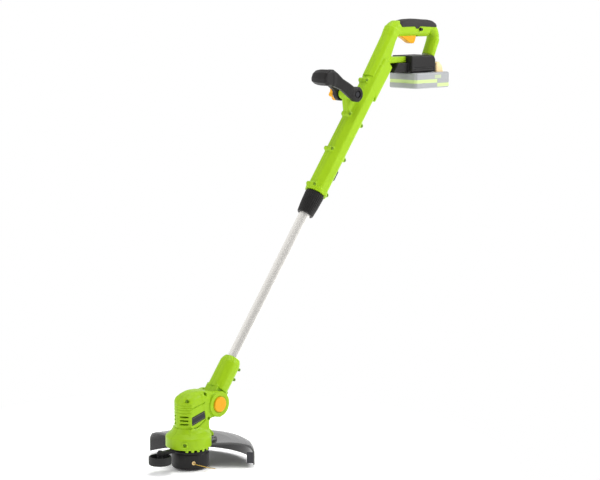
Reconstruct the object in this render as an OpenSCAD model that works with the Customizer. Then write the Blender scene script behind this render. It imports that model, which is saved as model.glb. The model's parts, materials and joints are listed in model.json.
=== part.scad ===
// Cordless string trimmer with a telescoping shaft, a tilting head and a loop front handle.
// Millimetres. +Z is up, +X runs from the head to the operator, z = 0 is the floor under the spool.

/* [Overall] */
// Slope of the shaft above the floor, degrees
shaft_tilt = 53.4; // [40:0.1:66]
// Distance of the head pivot behind the spool axis
pivot_x = 58; // [50:1:75]
// Height of the head pivot above the floor
pivot_z = 130; // [110:1:160]
// Distance along the shaft from the head pivot to the knee of the rear handle
knee_s = 861; // [700:1:1040]
// Outer radius of the aluminium tube
tube_r = 12.7; // [10:0.1:15.5]
// Wall of the aluminium tube
tube_wall = 1.5; // [1:0.1:2]

/* [Cutting head] */
// Outer radius of the spool hub
spool_r = 39.7; // [32:0.1:48]
// Height of the top of the spool hub
spool_top = 42; // [38:0.5:44]
// Outer radius of the guard
guard_r = 137; // [110:1:165]
// Radius of the rounded front of the motor housing
head_r = 29; // [27:0.5:35]
// Half width of the motor housing between its side flats
flat_y = 26; // [23:0.5:31]
// Outer radius of the skirt over the spool
skirt_r = 48.5; // [46:0.5:58]
// Radius of the pivot cheeks
cheek_r = 27.5; // [23:0.5:33]
// Radius of the edge wheel
wheel_r = 24; // [18:0.5:28]

/* [Handles] */
// Width of the lower housing across the shaft
housing_w = 46; // [42:1:56]
// Thickness of the rear grip bar
bar_t = 38; // [34:1:42]
// Width of the rear grip bar
bar_w = 32; // [28:1:38]
// Half width of the front handle
loop_y = 26; // [21:1:32]

/* [Battery] */
// Length of the battery
battery_l = 123; // [102:1:148]
// Half width of the battery
battery_y = 43; // [35:1:52]
// Height of the battery
battery_h = 36; // [28:1:44]

/* [Fits] */
// Radial clearance of a running fit
run = 0.07; // [0.02:0.01:0.1]
// Gap between parts that move past each other
gap = 0.5; // [0.4:0.1:0.8]
// Wall of the plastic shells
wall = 2.6; // [2:0.1:3.2]

/* [Hidden] */
$fn = 64;
eps = 0.02;
// heights of the head, upward from the floor
plate_z = spool_top + 5;
plate_t = 3;
rim_top = 69;
body_z = 80;
body_top = 164;
skirt_x = -5;
head_x = -6;
motor_z = 60;
boss_z = plate_z + 12;
motor_h = 60;
motor_r = 18;
spindle_r = 2.5;
eyelet_z = 17.5;
eyelet_a = 239;
wheel_x = -(spool_r + wheel_r + 20);
wheel_z = 21;
wheel_h = 17;
axle_r = 3;
guard_a0 = -50;
guard_span = 139;
guard_t = 3;
// head pivot
cheek_y = 30;
knuckle_y = 16.4;
pin_r = 8;
button_r = 16.7;
button_out = 3.5;
// shaft, measured along it from the head pivot
neck_s = 108;
neck_w = 44;
tube_s0 = 50;
tube_s1 = 665;
collar_s0 = 471.5;
collar_s1 = 525;
collet_r = tube_r + 2.6;
flange_s = 526;
housing_s = 534;
lock_s = 588.5;
bush_s = 636;
bush_l = 20;
inner_w = housing_w - 2 * wall;
lug_s = [537, 630, 722, 814];
// front handle pivot, along the shaft and above its axis
loop_s = 760.8;
loop_h = housing_w / 2 + 24;
loop_boss_r = 17;
loop_in = 18.5;
bolt_r = 3;
knob_r = 17;
// rear handle, measured from the knee
knee_x = pivot_x + knee_s * cos(shaft_tilt);
knee_z = pivot_z + knee_s * sin(shaft_tilt);
arm_a = 60.5;
arm_t = 36;
arm_w = 34;
bend = 19;
bar_z = 89;
arm_l = 119.5;
bar_x0 = 57.9;
bar_x1 = 161.8;
post_t = 28;
post_w = 32;
post_a = 114;
post_r = 27;
post_c = bar_z + bar_t / 2 - post_t / 2 - post_r;
shelf_z0 = 12;
shelf_z1 = 27.6;
dock_x0 = 82;
dock_x1 = 165;
dock_y = 31;
dock_z0 = -10;
rail_y = 20;
rail_z = 15;
battery_x = 82;
battery_z = dock_z0 - 2;
trigger_x = 67;
trigger_z = 88;
lockoff_x = 126.5;
lockoff_z = 87;
lockoff_r = 3.4;
// points of the cutting line, from its eyelet to its free end
line_r = 0.8;
line_pts = [
    [-20.9, -34.8, 17.5], [-22.4, -37.3, 17.2], [-21.5, -41, 16.2], [-17, -45, 14.5],
    [-10, -50, 12], [0, -55, 8.5], [9, -59, 5.5], [16, -62, 4]
];

// ---- shared helpers ----

// A prism: the outline drawn in the X-Z plane, filled from y0 to y1.
module along_y(y0, y1) {
    translate([0, y1, 0]) rotate([90, 0, 0]) linear_extrude(y1 - y0) children();
}

// A round bar across the part, at x and z, from y0 to y1.
module rod_y(x, z, r, y0, y1) {
    translate([x, y1, z]) rotate([90, 0, 0]) cylinder(r = r, h = y1 - y0);
}

// An eight-sided section, t by w, with its corners cut by c.
module octagon(t, w, c) {
    polygon([
        [-t / 2 + c, -w / 2], [t / 2 - c, -w / 2], [t / 2, -w / 2 + c], [t / 2, w / 2 - c],
        [t / 2 - c, w / 2], [-t / 2 + c, w / 2], [-t / 2, w / 2 - c], [-t / 2, -w / 2 + c]
    ]);
}

// The frame of the shaft: origin at the head pivot, +Z along the shaft, +X on its underside.
module shaft_frame() {
    translate([pivot_x, 0, pivot_z]) rotate([0, 90 - shaft_tilt, 0]) children();
}

// The frame of the rear handle: origin at the knee, axes as the part's own.
module handle_frame() {
    translate([knee_x, 0, knee_z]) children();
}

// The frame of the front handle: origin on its pivot, axes as the part's own.
module loop_frame() {
    shaft_frame() translate([-loop_h, 0, loop_s]) rotate([0, shaft_tilt - 90, 0]) children();
}

// A straight bar in the X-Z plane, starting at x, z and rising at angle a.
module bar(x, z, a, len, t, w, c) {
    translate([x, 0, z]) rotate([0, 90 - a, 0]) linear_extrude(len) octagon(t, w, c);
}

// A bend about an axis along Y, from angle a0 over da.
module elbow(x, z, r, a0, da, t, w, c) {
    translate([x, 0, z]) rotate([90, 0, 0]) rotate([0, 0, a0])
        rotate_extrude(angle = da) translate([r, 0]) octagon(t, w, c);
}

// The half of space on one side of the joint between two shells: -1 near, 1 far.
module half_space(side) {
    translate([-300, side < 0 ? -400 : 0, -100]) cube([1400, 400, 1300]);
}

// A small round-head screw along +Z, its head at the top.
module screw(len, r) {
    cylinder(r = r, h = len, $fn = 24);
    translate([0, 0, len]) cylinder(r = r * 1.8, h = r * 1.1, $fn = 24);
}

// Ring of a cable or cord round a point of a path, facing along d; up is a direction d never takes.
function ring(p, d, r, n, up) =
    let(u = cross(up, d) / norm(cross(up, d)), h = cross(d, u))
    [for (k = [0:n - 1]) p + r * (h * cos(360 * k / n) + u * sin(360 * k / n))];

// Round solid swept along a list of points.
module sweep(pts, r, n, up = [0, 0, 1]) {
    m = len(pts);
    dirs = [for (i = [0:m - 1])
        let(q = pts[min(i + 1, m - 1)] - pts[max(i - 1, 0)]) q / norm(q)];
    body_pts = [for (i = [0:m - 1]) each ring(pts[i], dirs[i], r, n, up)];
    side_faces = [for (i = [0:m - 2]) for (k = [0:n - 1])
        [i * n + k, (i + 1) * n + k, (i + 1) * n + (k + 1) % n, i * n + (k + 1) % n]];
    ends = [[for (k = [0:n - 1]) k], [for (k = [0:n - 1]) m * n - 1 - k]];
    polyhedron(points = body_pts, faces = concat(side_faces, ends));
}

// A coil spring about +Z, resting on z = 0.
module coil(r, wire, turns, h) {
    steps = turns * 12;
    pts = [for (i = [0:steps]) [
        r * cos(30 * i), r * sin(30 * i), wire + (h - 2 * wire) * i / steps]];
    sweep(pts, wire, 6);
}

// ---- rear housing and grip ----

// Outside of the lower housing, the arm and the grip loop, before it is split and hollowed.
// The inset s is taken off every side, so that s = wall gives the inside.
module housing_solid(s) {
    shaft_frame() {
        translate([0, 0, housing_s + s]) linear_extrude(knee_s - housing_s - s + 18)
            octagon(housing_w - 2 * s, housing_w - 2 - 2 * s, 12 - 0.6 * s);
    }
    handle_frame() {
        bar(-17.5, -24.7, arm_a, arm_l, arm_t - 2 * s, arm_w - 2 * s, 9 - 0.6 * s);
        elbow(bar_x0, bar_z - bend, bend, 90, arm_a, arm_t - 2 * s, arm_w - 2 * s, 9 - 0.6 * s);
        bar(bar_x0 - eps, bar_z, 0, bar_x1 - bar_x0 + 2 * eps, bar_t - 2 * s, bar_w - 2 * s, 8 - 0.6 * s);
        elbow(bar_x1, post_c, post_r, 90 - post_a, post_a, post_t - 2 * s, post_w - 2 * s, 8 - 0.6 * s);
        bar(bar_x1 + post_r * cos(90 - post_a), post_c + post_r * sin(90 - post_a), -post_a,
            (post_c + post_r * sin(90 - post_a) - shelf_z1) / sin(post_a) + 4 - s,
            post_t - 2 * s, post_w - 2 * s, 8 - 0.6 * s);
    }
}

// Bracket that carries the front handle, its barrel, the shelf, the lugs and the end flange.
module housing_extras() {
    shaft_frame() {
        translate([0, 0, flange_s]) linear_extrude(housing_s - flange_s + eps)
            octagon(housing_w + 5, housing_w + 3, 14);
        for (s = lug_s) {
            rod_y(-housing_w / 2 - 0.5, s, 5.5, -12, 12);
            rod_y(housing_w / 2 + 0.5, s, 5.5, -12, 12);
        }
        along_y(-9, 9) polygon([
            [-housing_w / 2 + 3, loop_s - 42], [-housing_w / 2 - 10, loop_s - 34],
            [-loop_h - 9, loop_s - 9], [-loop_h + 2, loop_s + 11], [-housing_w / 2 - 8, loop_s + 14],
            [-housing_w / 2 + 3, loop_s + 26]
        ]);
        rod_y(-loop_h, loop_s, 13, -loop_in + gap, loop_in - gap);
    }
    // the arm widens towards the knee and wraps the back of the lower housing
    handle_frame() along_y(-11, 11) polygon([
        [-34, -12], [19, -9], [49, 58], [30, 60], [-3, 37]
    ]);
    shaft_frame() along_y(-17, 17) polygon([[18, 787], [22.5, 787], [31.5, 866], [31.5, 876], [18, 884]]);
    handle_frame() {
        translate([14, -13, shelf_z0]) cube([dock_x0 - 14, 26, shelf_z1 - 1.6 - shelf_z0]);
    }
}

// Everything that is cut out of the housing.
module housing_cuts() {
    // inside of the flange and of the lower end, for the collet and the tube
    shaft_frame() {
        translate([0, 0, flange_s - 1]) cylinder(r = collet_r, h = housing_s - flange_s + wall + 2);
        translate([12, -7 - gap, lock_s - 14 - gap]) cube([20, 14 + 2 * gap, 28 + 2 * gap]);
        rod_y(-loop_h, loop_s, bolt_r + run, -40, 40);
        for (s = lug_s) {
            rod_y(-housing_w / 2 - 2, s, 1.8, -13, 8);
            rod_y(housing_w / 2 + 2, s, 1.8, -13, 8);
            rod_y(-housing_w / 2 - 2, s, 3.4, -13, -10);
            rod_y(housing_w / 2 + 2, s, 3.4, -13, -10);
        }
    }
    handle_frame() {
        // trigger slot in the underside of the grip
        translate([trigger_x - 9, -8.6, bar_z - bar_t / 2 - 6]) cube([68, 17.2, 14]);
        rod_y(lockoff_x, lockoff_z, lockoff_r + run, -30, 30);
        rod_y(trigger_x, trigger_z, 2, -bar_w / 2 + 1, bar_w / 2 - 1);
        // way through the foot of the post for the two wires
        translate([158, -5, 16]) cube([22, 10, 18]);
    }
}

module housing_half(side) {
    intersection() {
        difference() {
            union() {
                difference() {
                    housing_solid(0);
                    housing_solid(wall);
                }
                difference() {
                    housing_extras();
                    housing_solid(wall);
                }
            }
            housing_cuts();
        }
        half_space(side);
    }
}

module housing_near() {
    color([0.66, 0.85, 0.14]) housing_half(-1);
}

module housing_far() {
    color([0.66, 0.85, 0.14]) housing_half(1);
}

module housing_screws() {
    color([0.45, 0.46, 0.48]) shaft_frame() for (s = lug_s) for (x = [-1, 1])
        translate([x * (housing_w / 2 + 2), 8, s]) rotate([90, 0, 0]) screw(18, 1.8);
}

// Soft crowned pad over the top of the grip.
module grip_pad() {
    color([0.24, 0.23, 0.23]) handle_frame() difference() {
        intersection() {
            along_y(-18, 18) polygon([
                [bar_x0 + 2, bar_z + 2], [bar_x0 + 4, 104], [bar_x0 + 12, 109], [100, 111.5], [122, 112],
                [145, 110.8], [bar_x1, 109], [bar_x1, bar_z + 2]
            ]);
            rotate([90, 0, 90]) translate([0, 0, 40]) linear_extrude(180) polygon([
                [-18, 60], [18, 60], [18, 102], [12, 109.5], [6, 112.5], [-6, 112.5], [-12, 109.5], [-18, 102]
            ]);
        }
        bar(bar_x0 - 5, bar_z, 0, bar_x1 - bar_x0 + 20, bar_t, bar_w, 8);
    }
}

// ---- trigger and switch ----

module trigger() {
    color([1, 0.68, 0.16]) handle_frame() difference() {
        union() {
            along_y(-8, 8) polygon([
                [trigger_x - 6, trigger_z - 5], [trigger_x - 2, trigger_z - 12], [trigger_x + 2, 71],
                [trigger_x + 32, 57], [trigger_x + 38, 54.5], [trigger_x + 48, 55], [trigger_x + 55, 71],
                [trigger_x + 53, 78], [trigger_x + 44, 81.5],
                [trigger_x + 20, 84], [trigger_x + 4, trigger_z + 4]
            ]);
            rod_y(trigger_x, trigger_z, 5.5, -8, 8);
        }
        rod_y(trigger_x, trigger_z, 2 + run, -20, 20);
    }
}

module trigger_pin() {
    color([0.7, 0.7, 0.72]) handle_frame()
        rod_y(trigger_x, trigger_z, 2, -bar_w / 2 + 1, bar_w / 2 - 1);
}

module trigger_spring() {
    color([0.7, 0.7, 0.72]) handle_frame() translate([trigger_x, 12.6, trigger_z])
        rotate([90, 0, 0]) coil(2.9, 0.4, 4, 3.6);
}

module switch_box() {
    color([0.15, 0.15, 0.16]) handle_frame() {
        translate([90, -7, 93]) cube([24, 14, bar_z + bar_t / 2 - wall - 93]);
        translate([102, -2, 91.5]) cube([4, 4, 1.6]);
    }
}

// Two wires along the inside of the grip, from the switch to the battery dock.
module switch_leads() {
    color([0.55, 0.1, 0.08]) handle_frame() for (y = [-3, 3])
        sweep([[114, y, 98], [140, y, 98], [158, y, 94], [174, y, 84], [183, y, 70],
            [183, y, 56], [176, y, 40], [173, y, 32], [168, y, 25], [150, y, 21], [140, y, 17]],
            0.9, 8, [0, 1, 0]);
}

module lock_off_button() {
    color([0.2, 0.2, 0.2]) handle_frame() rod_y(lockoff_x, lockoff_z, lockoff_r, -bar_w / 2 - 5, bar_w / 2 + 1);
}

// ---- battery dock and battery ----

module battery_dock() {
    color([0.2, 0.2, 0.2]) handle_frame() difference() {
        union() {
            along_y(-dock_y, dock_y) polygon([
                [dock_x0, dock_z0], [dock_x1, dock_z0], [dock_x1, shelf_z1 - 8],
                [dock_x1 - 4, shelf_z1 - 2], [dock_x1 - 9, shelf_z1], [dock_x0, shelf_z1]
            ]);
            translate([30, -rail_y, dock_z0]) cube([dock_x0 - 30 + eps, 2 * rail_y, shelf_z0 - dock_z0]);
        }
        // the slide channel, open to the rear and below between the lips
        translate([dock_x0 + 3, -rail_y, dock_z0 + 4]) cube([100, 2 * rail_y, rail_z - dock_z0 - 4]);
        translate([dock_x0 + 3, -16, dock_z0 - 1]) cube([100, 32, 6]);
        // seat of the rear post
        bar(bar_x1 + post_r * cos(90 - post_a), post_c + post_r * sin(90 - post_a), -post_a,
            (post_c + post_r * sin(90 - post_a) - shelf_z1) / sin(post_a) + 4, post_t, post_w, 8);
        // way through for the two wires
        translate([130, -5, 14]) cube([40, 10, 15]);
        // recess in the underside ahead of the channel
        translate([48, -rail_y + 3, dock_z0 - 1]) cube([30, 2 * rail_y - 6, 12]);
        // clear of the slope of the lower housing
        rotate([0, 90 - shaft_tilt, 0]) translate([-40, -40, -80]) cube([72, 80, 160]);
    }
}

module dock_terminals() {
    color([0.8, 0.62, 0.3]) handle_frame() for (y = [-9, 0, 9])
        translate([dock_x0 + 3, y - 0.5, -3]) cube([14, 1, 12]);
}

module battery() {
    color([0.69, 0.7, 0.71]) handle_frame() difference() {
        union() {
            along_y(-battery_y, battery_y) polygon([
                [battery_x, battery_z - 4], [battery_x + 4, battery_z], [battery_x + battery_l - 6, battery_z],
                [battery_x + battery_l, battery_z - 8], [battery_x + battery_l, battery_z - battery_h + 6],
                [battery_x + battery_l - 5, battery_z - battery_h], [battery_x + 4, battery_z - battery_h],
                [battery_x, battery_z - battery_h + 4]
            ]);
            translate([dock_x0 + 8, -15.5, battery_z - eps]) cube([dock_x1 - dock_x0 - 8, 31, 8]);
            translate([dock_x0 + 8, -rail_y + gap, dock_z0 + 4.5])
                cube([dock_x1 - dock_x0 - 8, 2 * rail_y - 2 * gap, rail_z - dock_z0 - 5]);
            translate([dock_x1 + gap, -rail_y + gap, battery_z - eps]) cube([6, 2 * rail_y - 2 * gap, 16]);
        }
        for (y = [-9, 0, 9]) translate([dock_x0 + 7, y - 1.2, -6]) cube([12, 2.4, 18]);
        // pocket of the latch
        translate([dock_x1 + 8, -26.5, battery_z - 8]) cube([battery_l, 53, 30]);
        // round off the upright corners
        for (sx = [0, 1]) for (sy = [-1, 1])
            translate([battery_x + sx * battery_l, sy * battery_y, battery_z - battery_h - 1])
                rotate([0, 0, 45]) cube([9, 9, 90], center = true);
    }
}

module battery_latch() {
    color([1, 0.88, 0.66]) handle_frame() difference() {
        along_y(-26, 26) polygon([
            [dock_x1 + 8.5, battery_z - 3], [dock_x1 + 8.5, battery_z + 21], [dock_x1 + 12, battery_z + 23],
            [dock_x1 + 19, battery_z + 23], [dock_x1 + 29, battery_z + 14], [dock_x1 + 33, battery_z + 2],
            [dock_x1 + 33, battery_z - 3]
        ]);
        for (k = [0:3]) translate([dock_x1 + 15 + 4 * k, 0, battery_z + 23.6 - 3.2 * k])
            rotate([0, 45, 0]) cube([1.6, 60, 1.6], center = true);
    }
}

module latch_spring() {
    color([0.7, 0.7, 0.72]) handle_frame() translate([dock_x1 + 18, 0, battery_z - 8])
        coil(4, 0.5, 2, 2.8);
}

// ---- front handle ----

module front_handle() {
    color([0.24, 0.23, 0.23]) loop_frame() difference() {
        union() {
            for (side = [-1, 1]) {
                y0 = side < 0 ? -loop_in - 13 : loop_in;
                rod_y(0, 0, loop_boss_r, y0, y0 + 13);
                slim = side > 0 ? 8 : 0;
                along_y(y0, y0 + 13) polygon([
                    [3, -17], [-8, -15 + slim / 4], [-21 + slim, -7 + slim], [-46 + slim / 2, 12 + slim],
                    [-66, 22 + slim], [-66, 54], [-46, 38], [-24, 26], [-8, 16], [3, 16]
                ]);
            }
            along_y(-loop_y, loop_y) polygon([
                [-72, 22], [-90, 22], [-98, 28], [-99, 38], [-94, 50], [-84, 58],
                [-72, 58], [-65, 52], [-63, 38], [-65, 27]
            ]);
            for (side = [-1, 1]) translate([-81, side * loop_y, 40]) rotate([90, 0, 0])
                cylinder(r1 = side > 0 ? 13 : 17, r2 = side > 0 ? 17 : 13, h = 6, center = true);
        }
        rod_y(0, 0, bolt_r + run, -60, 60);
        rod_y(0, 0, 9, -loop_in - 20, -loop_in - 9);
    }
}

module handle_bolt() {
    color([0.7, 0.7, 0.72]) loop_frame() {
        rod_y(0, 0, bolt_r, -loop_in - 9, loop_in + 24);
        rod_y(0, 0, 6, -loop_in - 12, -loop_in - 9);
    }
}

module handle_washer() {
    color([0.85, 0.86, 0.87]) loop_frame() difference() {
        rod_y(0, 0, 15, loop_in + 13.02, loop_in + 14.5);
        rod_y(0, 0, bolt_r, 0, 60);
    }
}

module handle_knob() {
    color([1, 0.68, 0.16]) loop_frame() difference() {
        union() {
            rod_y(0, 0, knob_r - 5, loop_in + 14.9, loop_in + 27);
            for (k = [0:4]) rotate([0, 72 * k + 20, 0]) rod_y(knob_r - 5, 0, 5, loop_in + 15.9, loop_in + 27);
            rod_y(0, 0, 8, loop_in + 14.9, loop_in + 16);
        }
        rod_y(0, 0, bolt_r + run, 0, loop_in + 24.4);
    }
}

// ---- collar, tube and neck ----

module collet() {
    color([0.16, 0.16, 0.16]) shaft_frame() difference() {
        translate([0, 0, collar_s0 + 6]) cylinder(r = collet_r, h = housing_s + wall - collar_s0 - 6);
        translate([0, 0, collar_s0]) cylinder(r = tube_r + run, h = 200);
        for (a = [0:60:120]) rotate([0, 0, a]) translate([-1, -40, collar_s0]) cube([2, 80, 34]);
    }
}

module twist_collar() {
    color([0.16, 0.16, 0.16]) shaft_frame() difference() {
        rotate_extrude() polygon([
            [tube_r + gap, collar_s0], [tube_r + 4.8, collar_s0], [tube_r + 6.2, collar_s0 + 2],
            [tube_r + 8.2, collar_s0 + 24], [tube_r + 9.4, collar_s1 - 6], [tube_r + 9.4, collar_s1 - 1],
            [tube_r + 8.4, collar_s1], [collet_r + run, collar_s1], [collet_r + run, collar_s0 + 5],
            [tube_r + gap, collar_s0 + 5]
        ]);
        for (a = [0:20:340]) rotate([0, 0, a]) translate([tube_r + 6.4, 0, collar_s0 + 4])
            rotate([0, 3, 0]) translate([0, -0.7, 0]) cube([4, 1.4, 46]);
    }
}

module turn_lock_tab() {
    color([0.16, 0.16, 0.16]) shaft_frame() translate([0, 0, lock_s]) along_y(-7, 7) polygon([
        [18.9, -16.5], [20, -16.5], [20, -13.5], [housing_w / 2 + 3, -13.5], [housing_w / 2 + 5.5, -11],
        [housing_w / 2 + 5.5, 11], [housing_w / 2 + 3, 13.5], [20, 13.5], [20, 16.5], [18.9, 16.5]
    ]);
}

module tab_spring() {
    color([0.7, 0.7, 0.72]) shaft_frame() translate([18.9, 0, lock_s]) rotate([0, -90, 0])
        coil(3.2, 0.4, 2, 2.2);
}

module slider_bush() {
    color([0.85, 0.85, 0.83]) shaft_frame() translate([0, 0, bush_s]) difference() {
        linear_extrude(bush_l) octagon(inner_w - 0.6, inner_w - 2.6, 10.8);
        translate([0, 0, -1]) cylinder(r = tube_r + run, h = bush_l + 2);
    }
}

module tube() {
    color([0.82, 0.8, 0.76]) shaft_frame() difference() {
        translate([0, 0, tube_s0]) cylinder(r = tube_r, h = tube_s1 - tube_s0);
        translate([0, 0, tube_s0 - 1]) cylinder(r = tube_r - tube_wall, h = tube_s1 - tube_s0 + 2);
    }
}

module tube_rings() {
    color([0.5, 0.5, 0.52]) shaft_frame() for (s = [bush_s - 3.4, bush_s + bush_l + 0.4])
        translate([0, 0, s]) difference() {
            cylinder(r = tube_r + 2.4, h = 3);
            translate([0, 0, -1]) cylinder(r = tube_r, h = 5);
        }
}

module cable_plugs() {
    color([0.12, 0.12, 0.12]) shaft_frame() for (s = [tube_s0 + 2, tube_s1 - 12])
        translate([0, 0, s]) difference() {
            cylinder(r = tube_r - tube_wall, h = 10);
            translate([0, 0, -1]) cylinder(r = 3, h = 12);
        }
}

module inner_cable() {
    color([0.1, 0.1, 0.1]) shaft_frame() translate([0, 0, tube_s0 + 2])
        cylinder(r = 3, h = tube_s1 - tube_s0 - 2);
}

module neck() {
    color([0.66, 0.85, 0.14]) shaft_frame() difference() {
        union() {
            translate([0, 0, cheek_r + 3]) linear_extrude(neck_s - 7 - cheek_r - 3)
                octagon(neck_w - 2, neck_w, 11);
            translate([0, 0, neck_s - 7]) cylinder(r1 = neck_w / 2 - 1.5, r2 = tube_r + 3.6, h = 7);
            translate([-neck_w / 2 + 3, -knuckle_y, 0]) cube([neck_w - 6, 2 * knuckle_y, cheek_r + 4]);
            rod_y(0, 0, cheek_r - 1.6, -knuckle_y, knuckle_y);
        }
        translate([0, 0, tube_s0]) cylinder(r = tube_r, h = 100);
        cylinder(r = 6, h = tube_s0 + 5);
        rod_y(0, 0, pin_r + run, -30, 30);
        for (s = [66, 90]) rod_y(tube_r + 4.2, s, 1.8, -neck_w / 2 - 1, neck_w / 2 - 6);
        for (s = [66, 90]) rod_y(tube_r + 4.2, s, 3.4, -neck_w / 2 - 1, -neck_w / 2 + 6);
    }
}

module neck_screws() {
    color([0.45, 0.46, 0.48]) shaft_frame() for (s = [66, 90])
        translate([tube_r + 4.2, neck_w / 2 - 6, s]) rotate([90, 0, 0]) screw(neck_w - 12, 1.8);
}

// ---- cutting head ----

// Outer form of the head: motor housing, skirt, cheeks and the wing over the guard.
module head_solid() {
    intersection() {
        union() {
            translate([head_x, 0, body_z - 12]) cylinder(r = head_r, h = 110);
            translate([head_x, -head_r, body_z - 12]) cube([34 - head_x, 2 * head_r, 110]);
        }
        translate([-60, -flat_y, 0]) cube([140, 2 * flat_y, 200]);
        along_y(-40, 40) polygon([
            [-40, 40], [-40, body_top - 19], [-33, body_top - 13], [-24, body_top - 7], [-12, body_top - 2.5],
            [4, body_top], [24, body_top - 1], [34, body_top - 4], [34, 96], [26, 84], [26, 40]
        ]);
        rotate([90, 0, 90]) translate([0, 0, -60]) linear_extrude(140) polygon([
            [-flat_y, 0], [flat_y, 0], [flat_y, body_top - 14], [flat_y - 4, body_top - 6],
            [flat_y - 11, body_top - 1], [flat_y - 16, body_top + 1], [16 - flat_y, body_top + 1],
            [11 - flat_y, body_top - 1], [4 - flat_y, body_top - 6], [-flat_y, body_top - 14]
        ]);
    }
    // skirt: a rim and a flare that rises to the motor housing
    translate([skirt_x, 0, 0]) rotate_extrude() polygon([
        [0, plate_z], [skirt_r - 1, plate_z], [skirt_r, plate_z + 1], [skirt_r, rim_top], [skirt_r - 3, rim_top + 4],
        [skirt_r - 11, rim_top + 9], [skirt_r - 15, body_z + 3], [skirt_r - 19, body_z + 5], [0, body_z + 5]
    ]);
    for (a = [225:15:285]) translate([skirt_x, 0, 0]) rotate([0, 0, a])
        translate([skirt_r - wall - 0.6, -3, plate_z - 4]) cube([wall, 6, 5]);
    // screw boss low on the rim
    translate([skirt_x, 0, boss_z]) rotate([0, 0, 220]) rotate([0, 90, 0])
        cylinder(r = 6, h = skirt_r + 2.5);
    // wing over the root of the guard
    along_y(-17, 17) polygon([
        [20, plate_z + 14], [skirt_r + 4, plate_z + 14], [skirt_r + 4, plate_z + 20],
        [skirt_r - 6, rim_top + 8], [20, rim_top + 14]
    ]);
    // cheeks each side of the knuckle
    rod_y(pivot_x, pivot_z, cheek_r, -cheek_y, cheek_y);
    along_y(-flat_y + 1, flat_y - 1) polygon([
        [20, pivot_z - 30], [pivot_x - 8, pivot_z - cheek_r + 1], [pivot_x + 8, pivot_z - cheek_r - 3],
        [pivot_x + 13, pivot_z - cheek_r + 4], [pivot_x, pivot_z], [pivot_x, pivot_z + cheek_r - 1],
        [26, pivot_z + cheek_r + 2], [10, pivot_z + cheek_r]
    ]);
}

// Hollow for the motor, the plate and the knuckle, and the slots and grooves of the surface.
module head_cuts() {
    translate([skirt_x, 0, 0]) rotate_extrude() polygon([
        [0, plate_z - eps], [skirt_r - wall, plate_z - eps], [skirt_r - wall, rim_top - 1],
        [skirt_r - 12, rim_top + 6], [skirt_r - 20, rim_top + 9], [0, rim_top + 9]
    ]);
    translate([0, 0, plate_z]) cylinder(r = motor_r + 3, h = body_top - 8 - plate_z);
    // clear of the knuckle through the whole tilt
    rod_y(pivot_x, pivot_z, cheek_r + 1.6, -knuckle_y - gap, knuckle_y + gap);
    translate([pivot_x, -knuckle_y - gap, pivot_z - 10]) cube([60, 2 * knuckle_y + 2 * gap, 80]);
    // passage for the motor leads
    translate([16, -4, pivot_z - 4]) cube([20, 8, 8]);
    // button recess, axle bore
    rod_y(pivot_x, pivot_z, button_r + run, -cheek_y - 1, -knuckle_y - gap - 2.4);
    rod_y(pivot_x, pivot_z, pin_r, knuckle_y, cheek_y - 2.4);
    rod_y(pivot_x, pivot_z, pin_r, -knuckle_y - 4, -knuckle_y);
    // vents, three each side of the front
    for (z = [97, 105, 113]) for (y = [6, -22])
        translate([-50, y, z]) cube([32, 16, 3]);
    // grooves round the front
    for (z = [89, 122.5, 129, 134, 139]) groove(z);
    // sloping groove and label recess of the near side
    translate([-18, -flat_y - 1, 131]) rotate([0, -13.5, 0]) cube([38, 2, 1.4]);
    translate([-14, -flat_y - 1, 90]) rotate([0, -16, 0]) cube([30, 2, 1.2]);
    label_form(1);
    for (y = [-9, 9]) {
        translate([skirt_r - 2, y, plate_z + 8]) cylinder(r = 1.8, h = 20);
        translate([skirt_r - 2, y, plate_z + 17]) cylinder(r = 3.4, h = 20);
    }
    // recess and hole of the rim screw, holes of the shell screws
    translate([skirt_x, 0, boss_z]) rotate([0, 0, 220]) rotate([0, 90, 0]) {
        cylinder(r = 1.8, h = skirt_r + 5);
        translate([0, 0, skirt_r - 1.5]) cylinder(r = 3.6, h = 8);
    }
    for (p = [[29, 104], [-24.5, 148], [22, 156.5]]) {
        rod_y(p[0], p[1], 1.8, -flat_y - 6, flat_y - 8);
        rod_y(p[0], p[1], 3.4, -flat_y - 6, -flat_y + 9);
    }
}

module groove(z) {
    translate([head_x, 0, z]) intersection() {
        difference() {
            cylinder(r = head_r + 4, h = 1.6);
            translate([0, 0, -1]) cylinder(r = head_r - 0.8, h = 4);
        }
        translate([-60, -40, -1]) cube([48, 80, 4]);
    }
}

// Slanted label field on the near flat, grown outward by out.
module label_form(out) {
    along_y(-flat_y - out, -flat_y + 0.8)
        polygon([[-17, 95.5], [20, 106], [17.5, 122], [-17, 113]]);
}

module head_half(side) {
    intersection() {
        difference() {
            head_solid();
            head_cuts();
        }
        half_space(side);
    }
}

module head_shell_near() {
    color([0.66, 0.85, 0.14]) head_half(-1);
}

module head_shell_far() {
    color([0.66, 0.85, 0.14]) head_half(1);
}

module head_screws() {
    color([0.45, 0.46, 0.48]) {
        for (p = [[29, 104], [-24.5, 148], [22, 156.5]])
            translate([p[0], flat_y - 8, p[1]]) rotate([90, 0, 0]) screw(2 * flat_y - 17, 1.8);
        translate([skirt_x, 0, boss_z]) rotate([0, 0, 220]) rotate([0, 90, 0])
            translate([0, 0, skirt_r - 9.5]) screw(8, 1.8);
    }
}

module label_plate() {
    color([0.2, 0.2, 0.22]) label_form(0);
}

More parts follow.
